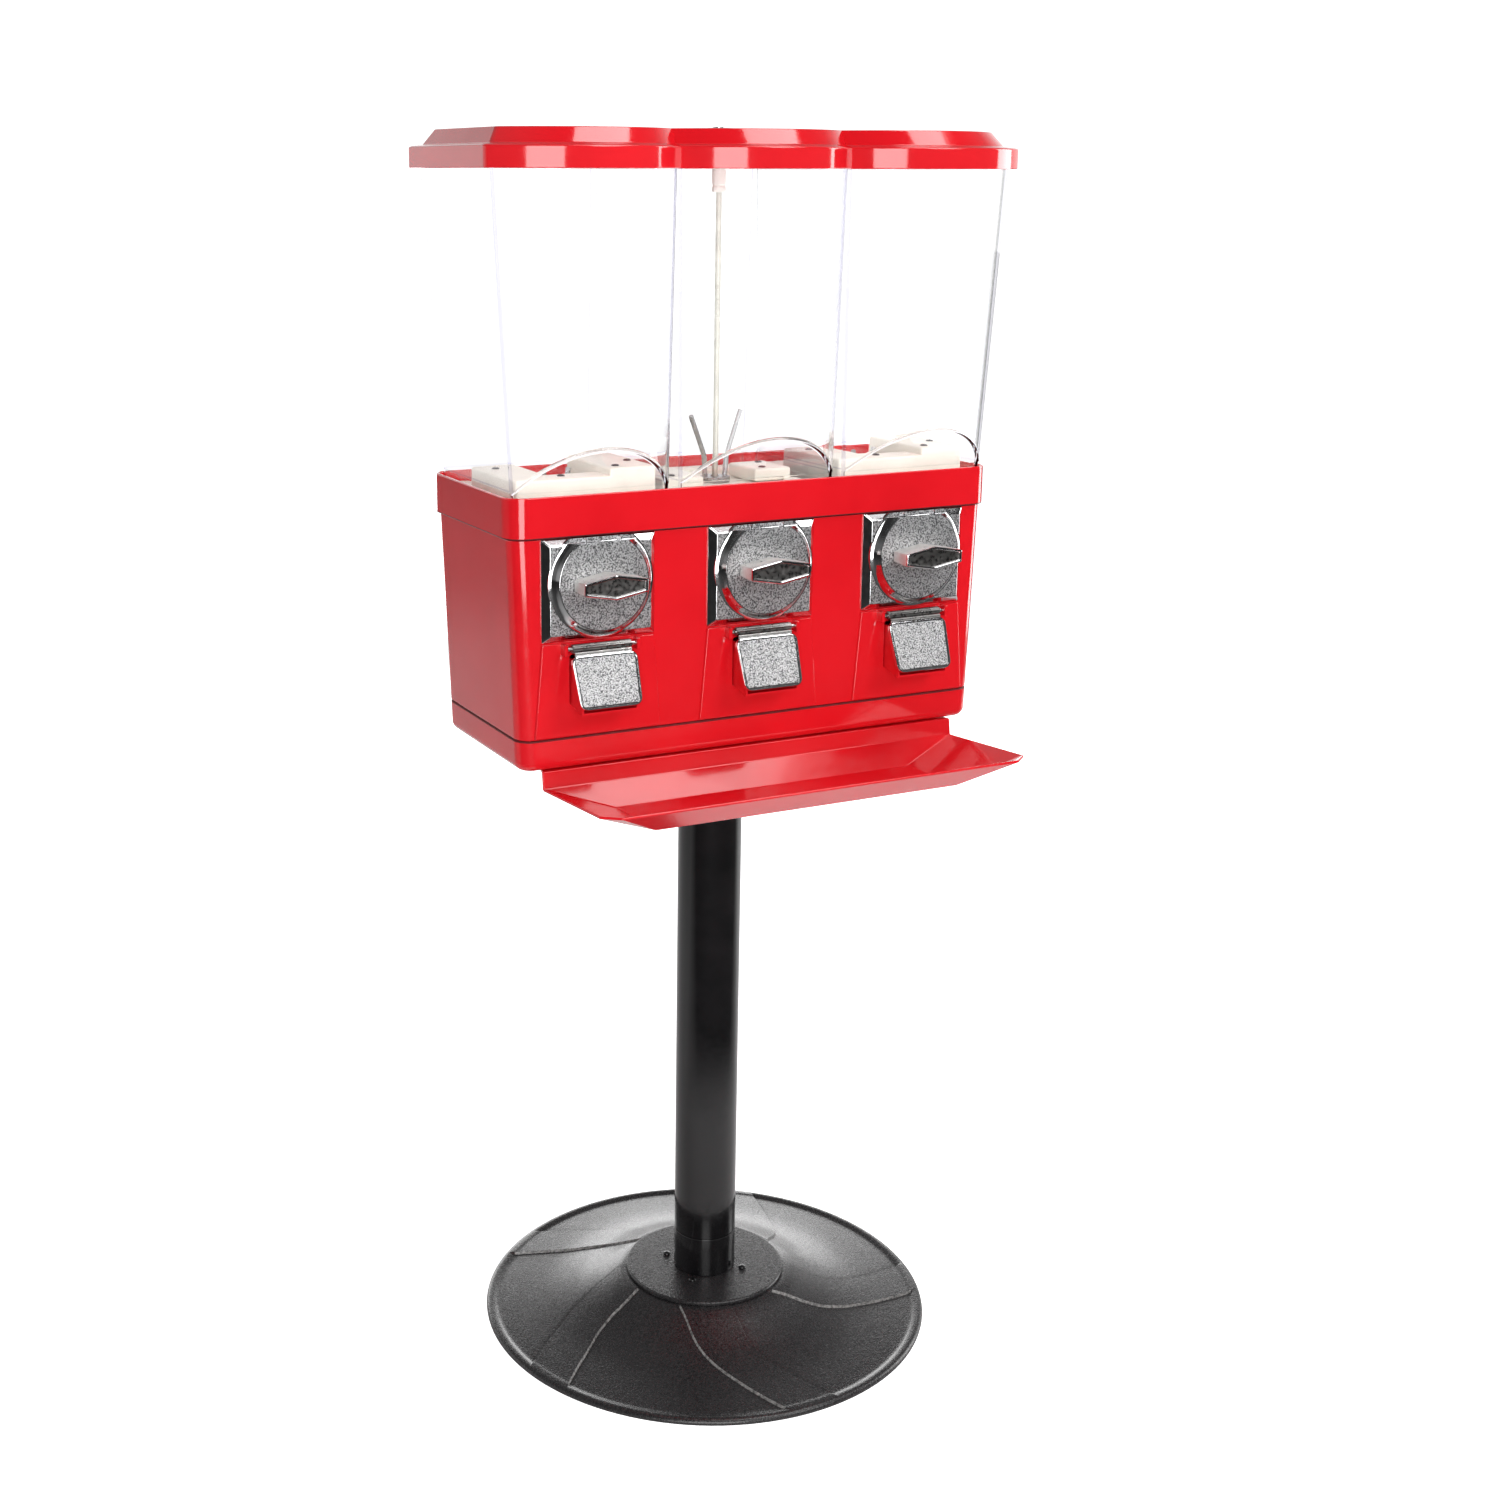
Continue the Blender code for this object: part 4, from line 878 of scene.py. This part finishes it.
def make_face_plate(bay):
    """Bevelled plate with the flared round boss, the coin slot and hammered fields."""
    x = BAY_X[bay]
    low, high = span(f"mech_plate_{bay}")
    back = high[1]

    def ring(y, inset, radius=1.5):
        half = 49.5 - inset
        corners = [(x - half, y, low[2] + inset), (x + half, y, low[2] + inset),
                   (x + half, y, high[2] - inset), (x - half, y, high[2] - inset)]
        return rounded(corners, max(radius, 0.4), 4, closed=True)
    rings = [ring(back, 0), ring(back - 0.8, 0), ring(back - 1.4, 0.5), ring(-88.2, 5.3),
             ring(PLATE_FACE, 6.0, 1.0)]
    plate = piece(f"face_plate_{bay}", *skin(rings), [CHROME, HAMMERED, DARK], "cabinet")
    flare = [(0, -86), (45.8, -86), (45.8, -88.3), (43.8, -88.95), (42.2, -90.2), (40.8, -91.9),
             (39.5, -93.8), (38.8, -94.7), (38.0, BOSS_FACE), (0, BOSS_FACE)]
    combine(plate, [lathe(flare, 112, shaft=(x, SHAFT_Z))], "UNION")
    # the flat on the boss, the hollow behind it, the coin slot, and a trim at the collar
    combine(plate, [soft_box((x - 60, -110, 749.2), (x + 60, -88.6, 770), 0.3, 1),
                    lathe([(30.4, -80), (30.4, -92)], 64, shaft=(x, SHAFT_Z)),
                    soft_box((x - 13.5, -91.4, 737), (x + 13.5, -89.0, 765), 0.5, 2),
                    soft_box((x - 49, -110, 753.0), (x + 49, -82.5, 775), 0.2, 1)], "DIFFERENCE")
    tidy(plate, 24)

    def choose(centre, normal):
        """1 on the flat fields of plate and boss, 2 in the coin slot, near black as painted shade, 0
        elsewhere.
        """
        flat = normal[1] < -0.985
        inside = math.hypot(centre[0] - x, centre[2] - SHAFT_Z) < 38.4
        on_plate = abs(centre[1] - PLATE_FACE) < 0.2
        on_boss = abs(centre[1] - BOSS_FACE) < 0.2 and inside
        if flat and (on_plate or on_boss):
            return 1
        return 2 if abs(normal[2]) > 0.9 and 89 < -centre[1] < 91.4 and centre[2] > 736 else 0
    paint(plate, choose)
    stand_for(f"mech_plate_{bay}")
    tabs = [soft_box((x + sx - 0.6, -92.6, 746.5), (x + sx + 0.6, -88.0, 752.6), 0.3, 2)
            for sx in (-15.2, 15.2)]
    tabs.append(soft_box((x - 14.6, -94.4, 745.2), (x + 14.6, -92.2, 749.0), 0.6, 2))
    piece(f"slot_lips_{bay}", *join_shapes(tabs), CHROME, "cabinet")


def grip_ring(x, y, grow):
    """The six-sided outline of a grip at depth y."""
    half_w, end, mid = 27.5 + grow, 5.2 + grow * 0.9, 10 + grow
    corners = [(half_w, -end), (half_w, end), (0, mid), (-half_w, end), (-half_w, -end), (0, -mid)]
    return rounded([(x + px, y, SHAFT_Z + pz) for px, pz in corners], 1.0, 3, closed=True)


def make_handle(bay):
    x = BAY_X[bay]
    levels = [(-95.5, -1.2), (-96.2, -0.7), (-116.6, 0.0), (-117.5, -0.25), (-118.0, -0.9), (-118.0, -1.7),
              (-117.6, -2.1), (-116.7, -2.5), (-116.4, -3.3)]
    rings = [grip_ring(x, y, grow) for y, grow in levels]
    grip = piece(f"handle_grip_{bay}", *skin(rings), [CHROME, DARK_CHROME, BRUSHED], f"handle_{bay}",
                 sharp=30)

    def choose(centre, normal):
        """1 on the sunk front field, 2 on the sides, 0 on the rim."""
        if normal[1] < -0.9 and centre[1] > -117.2:
            return 1
        return 2 if abs(normal[1]) < 0.3 and centre[1] > -116 else 0
    paint(grip, choose)
    shank = rounded([(0, -97), (5, -97), (5, -18), (0, -18)], 0.5, 2)
    piece(f"handle_axle_{bay}", *lathe(shank, 40, shaft=(x, SHAFT_Z)), STEEL, f"handle_{bay}")
    stand_for(f"mech_handle_{bay}")


TILT = math.radians(21)      # resting slant of a flap
PIN_Y, PIN_Z = -88.1, 664.3
FLAP_LOW, FLAP_HIGH = -50.5, -6.2    # below the pin, along the flap
FLAP_HALF_W, FLAP_SPREAD = 27, 2     # half width at the lower edge, and its growth to the upper


def make_flap(bay):
    """Speckled flap in a chrome rim, with its ribbed hinge barrel, at its resting slant."""
    x = BAY_X[bay]

    c, s = math.cos(TILT), math.sin(TILT)

    def place(points):
        return [(x + px, PIN_Y + py * c + pz * s, PIN_Z - py * s + pz * c) for px, py, pz in points]

    def ring(y, grow):
        low, high = FLAP_LOW - grow, FLAP_HIGH + grow
        narrow, wide = FLAP_HALF_W + grow, FLAP_HALF_W + FLAP_SPREAD + grow
        corners = [(narrow, y, low), (wide, y, high), (-wide, y, high), (-narrow, y, low)]
        return place(rounded(corners, 7.5 + grow, 6, closed=True))
    levels = [(-1.4, 0), (-3.7, 0), (-4.2, -0.25), (-4.4, -0.8), (-4.4, -1.5), (-4.1, -1.8), (-3.7, -1.9),
              (-3.7, -2.6), (-4.1, -2.7), (-4.25, -3.1), (-4.25, -4.2)]
    flap = piece(f"flap_{bay}", *skin([ring(y, g) for y, g in levels]), [CHROME, SPECKLED, DARK],
                 f"door_{bay}", sharp=30)

    def choose(centre, normal):
        """1 on the speckled field, 2 in the groove round it, near black as painted shade, 0 on the chrome
        rim.
        """
        px, py, pz = centre[0] - x, centre[1] - PIN_Y, centre[2] - PIN_Z
        depth = py * c - pz * s
        down = py * s + pz * c
        side = FLAP_HALF_W + FLAP_SPREAD * (down - FLAP_LOW) / (FLAP_HIGH - FLAP_LOW)
        edge = max(abs(px) - side, FLAP_LOW - down, down - FLAP_HIGH)
        if edge < -2.65 and depth < -3.0:
            return 1
        return 2 if -2.65 <= edge < -1.6 and depth < -3.0 else 0
    paint(flap, choose)
    stand_for(f"chute_door_{bay}")
    rings = []
    for px, size in ((-26, 0.86), (-25.5, 1.0), (25.5, 1.0), (26, 0.86)):
        ring_points = []
        for k in range(72):
            a = 2 * math.pi * k / 72
            r = size * (3.4 + 0.2 * math.cos(8 * a))
            ring_points.append((px, r * math.cos(a), r * math.sin(a)))
        rings.append(place(ring_points))
    shapes = [skin(rings)]
    for low, high, front in ((-8.6, -3.4, -3.2), (-5.4, -4.2, -3.9)):
        verts, faces = soft_box((-25, front, low), (25, -1.5, high), 0.4, 2)
        shapes.append((place(verts), faces))
    piece(f"hinge_barrel_{bay}", *join_shapes(shapes), DARK_CHROME, f"door_{bay}", sharp=40)


# ---------------------------------------------------------------- carried CAD pieces

def dress(node, mat, width=0.4):
    """Keeps a CAD node, with its material and softened edges."""
    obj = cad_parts[node]
    obj.data.materials.clear()
    obj.data.materials.append(mat)
    bevel = obj.modifiers.new("soft_edges", "BEVEL")
    bevel.width = width * MM
    bevel.segments = 2
    bevel.limit_method = "ANGLE"
    bevel.angle_limit = math.radians(35)
    bevel.use_clamp_overlap = True


def build_machine():
    make_foot_casting()
    make_stand()
    make_cabinet()
    make_tray()
    make_lid()
    make_rod()
    for bay in BAYS:
        make_canister(bay)
        make_hopper(bay)
        make_wheel(bay)
        make_face_plate(bay)
        make_handle(bay)
        make_flap(bay)
        dress(f"coin_wheel_{bay}", STEEL)
        dress(f"mech_back_{bay}", ZINC)
        dress(f"drive_gear_{bay}", CREAM)
        dress(f"shaft_nut_{bay}", STEEL)
        dress(f"door_pin_{bay}", STEEL, 0.2)
        dress(f"chute_{bay}", RED, 0.3)
    dress("coin_pan", ZINC)
    dress("rod_nut", STEEL)
    for obj in PIECES:
        flat = obj.modifiers.new("flat_faces", "WEIGHTED_NORMAL")
        flat.keep_sharp = True


# ---------------------------------------------------------------- studio

WORLD_SEEN = 1.30            # backdrop, as the camera sees it
WORLD_BEHIND = 1.05          # as reflections see it behind the object
WORLD_FRONT = 0.14           # and in front of it
WORLD_ABOVE = 0.22           # share of that left overhead
FLOOR_GLOW = 1.10
CAMERA = {"at": (-816, -1516, 1030), "yaw": -0.4483, "pitch": -0.2446, "roll": 0.0019,
          "focal": 2030, "cx": 622, "cy": 680}    # at in mm, angles in radians, focal and centre in pixels
FRAME_PX = 1500


def softbox(name, at, target, size, power):
    """A rectangular area lamp that neither the camera nor the clear plastic shows."""
    lamp = bpy.data.lights.new(name, "AREA")
    lamp.shape = "RECTANGLE"
    lamp.size, lamp.size_y = size
    lamp.energy = power
    obj = bpy.data.objects.new(name, lamp)
    SCENE.objects.link(obj)
    obj.location = at
    obj.rotation_euler = (Vector(target) - Vector(at)).to_track_quat("-Z", "Y").to_euler()
    obj.visible_camera = False
    obj.visible_transmission = False


def calculate(tree, operation, first, second):
    """A Math node on two numbers or sockets."""
    node = tree.nodes.new("ShaderNodeMath")
    node.operation = operation
    for socket, value in zip(node.inputs, (first, second)):
        if isinstance(value, (int, float)):
            socket.default_value = value
        else:
            tree.links.new(value, socket)
    return node.outputs[0]


def make_world():
    """White backdrop for the eye. Reflections see it bright behind the object and dim in front."""
    world = bpy.data.worlds.new("studio")
    bpy.context.scene.world = world
    world.use_nodes = True
    tree = world.node_tree
    back = tree.nodes["Background"]
    back.inputs["Color"].default_value = (1.0, 1.0, 1.0, 1.0)
    path = tree.nodes.new("ShaderNodeLightPath").outputs
    split = tree.nodes.new("ShaderNodeSeparateXYZ")
    tree.links.new(tree.nodes.new("ShaderNodeTexCoord").outputs["Generated"], split.inputs[0])
    reach = tree.nodes.new("ShaderNodeMapRange")
    for key, value in (("From Min", -0.25), ("From Max", 0.35), ("To Min", WORLD_FRONT),
                       ("To Max", WORLD_BEHIND)):
        reach.inputs[key].default_value = value
    tree.links.new(split.outputs["Y"], reach.inputs["Value"])
    height = tree.nodes.new("ShaderNodeMapRange")
    for key, value in (("From Min", 0.22), ("From Max", 0.50), ("To Min", 1.0), ("To Max", WORLD_ABOVE)):
        height.inputs[key].default_value = value
    tree.links.new(split.outputs["Z"], height.inputs["Value"])
    around = calculate(tree, "MULTIPLY", reach.outputs["Result"], height.outputs["Result"])
    direct = calculate(tree, "MAXIMUM", path["Is Camera Ray"], path["Is Transmission Ray"])
    seen = calculate(tree, "MULTIPLY", direct, WORLD_SEEN)
    tree.links.new(calculate(tree, "MAXIMUM", seen, around), back.inputs["Strength"])


def make_floor():
    """White floor for the eye. Reflections see it darker in front, away from the foot."""
    floor_mat = Maker("studio_floor", (0.85, 0.85, 0.85), 0.9)
    tree = floor_mat.mat.node_tree
    path = floor_mat.nodes.new("ShaderNodeLightPath").outputs
    away = floor_mat.nodes.new("ShaderNodeVectorMath")
    away.operation = "LENGTH"
    floor_mat.links.new(floor_mat.place, away.inputs[0])
    loss = floor_mat.grey(away.outputs["Value"], 0.0, 0.78, 0.42, 0.62)
    split = floor_mat.nodes.new("ShaderNodeSeparateXYZ")
    floor_mat.links.new(floor_mat.place, split.inputs[0])
    in_front = floor_mat.grey(split.outputs["Y"], 1.0, 0.0, -0.3, 0.2)
    shade = calculate(tree, "MULTIPLY", path["Is Glossy Ray"], calculate(tree, "MULTIPLY", loss, in_front))
    floor_mat.to(calculate(tree, "SUBTRACT", 0.85, shade), "Base Color")
    direct = calculate(tree, "MAXIMUM", path["Is Camera Ray"], path["Is Transmission Ray"])
    floor_mat.set("Emission Color", (1.0, 1.0, 1.0, 1.0))
    floor_mat.to(calculate(tree, "MULTIPLY", direct, FLOOR_GLOW), "Emission Strength")
    floor_mat.set("Specular IOR Level", 0.1)
    mesh = bpy.data.meshes.new("studio_floor")
    mesh.from_pydata([(-15, -15, 0), (15, -15, 0), (15, 15, 0), (-15, 15, 0)], [], [(0, 1, 2, 3)])
    mesh.materials.append(floor_mat.mat)
    floor = bpy.data.objects.new("studio_floor", mesh)
    SCENE.objects.link(floor)


def make_studio():
    make_world()
    make_floor()
    softbox("key_left", (-1.00, -2.40, 1.10), (0, 0, 0.75), (1.3, 2.0), 46)
    softbox("fill_right", (2.40, -0.10, 1.00), (0, 0, 0.80), (0.9, 1.8), 26)
    softbox("high_right", (0.95, -1.95, 2.05), (0, 0, 0.64), (1.0, 0.8), 16)
    softbox("top", (0.75, -0.60, 2.8), (0, 0, 0.2), (1.3, 1.0), 22)
    softbox("rear", (0.7, 2.4, 0.45), (0, 0, 0.2), (2.8, 0.8), 24)


def make_camera():
    """At the height of the lid, to the left of the front."""
    camera = bpy.data.cameras.new("view")
    camera.sensor_width = 36
    camera.lens = CAMERA["focal"] / FRAME_PX * camera.sensor_width
    camera.shift_x = (FRAME_PX / 2 - CAMERA["cx"]) / FRAME_PX
    camera.shift_y = (CAMERA["cy"] - FRAME_PX / 2) / FRAME_PX
    camera.clip_end = 60
    obj = bpy.data.objects.new("view", camera)
    SCENE.objects.link(obj)
    yaw, pitch, roll = CAMERA["yaw"], CAMERA["pitch"], CAMERA["roll"]
    forward = Vector((-math.sin(yaw) * math.cos(pitch), math.cos(yaw) * math.cos(pitch), math.sin(pitch)))
    right = Vector((math.cos(yaw), math.sin(yaw), 0))
    up = right.cross(forward)
    turned_right = right * math.cos(roll) + up * math.sin(roll)
    turned_up = up * math.cos(roll) - right * math.sin(roll)
    turn = Matrix((turned_right, turned_up, -forward)).transposed().to_4x4()
    obj.matrix_world = Matrix.Translation([v * MM for v in CAMERA["at"]]) @ turn
    bpy.context.scene.camera = obj


bpy.context.scene.view_settings.view_transform = "Standard"
build_machine()
make_studio()
make_camera()
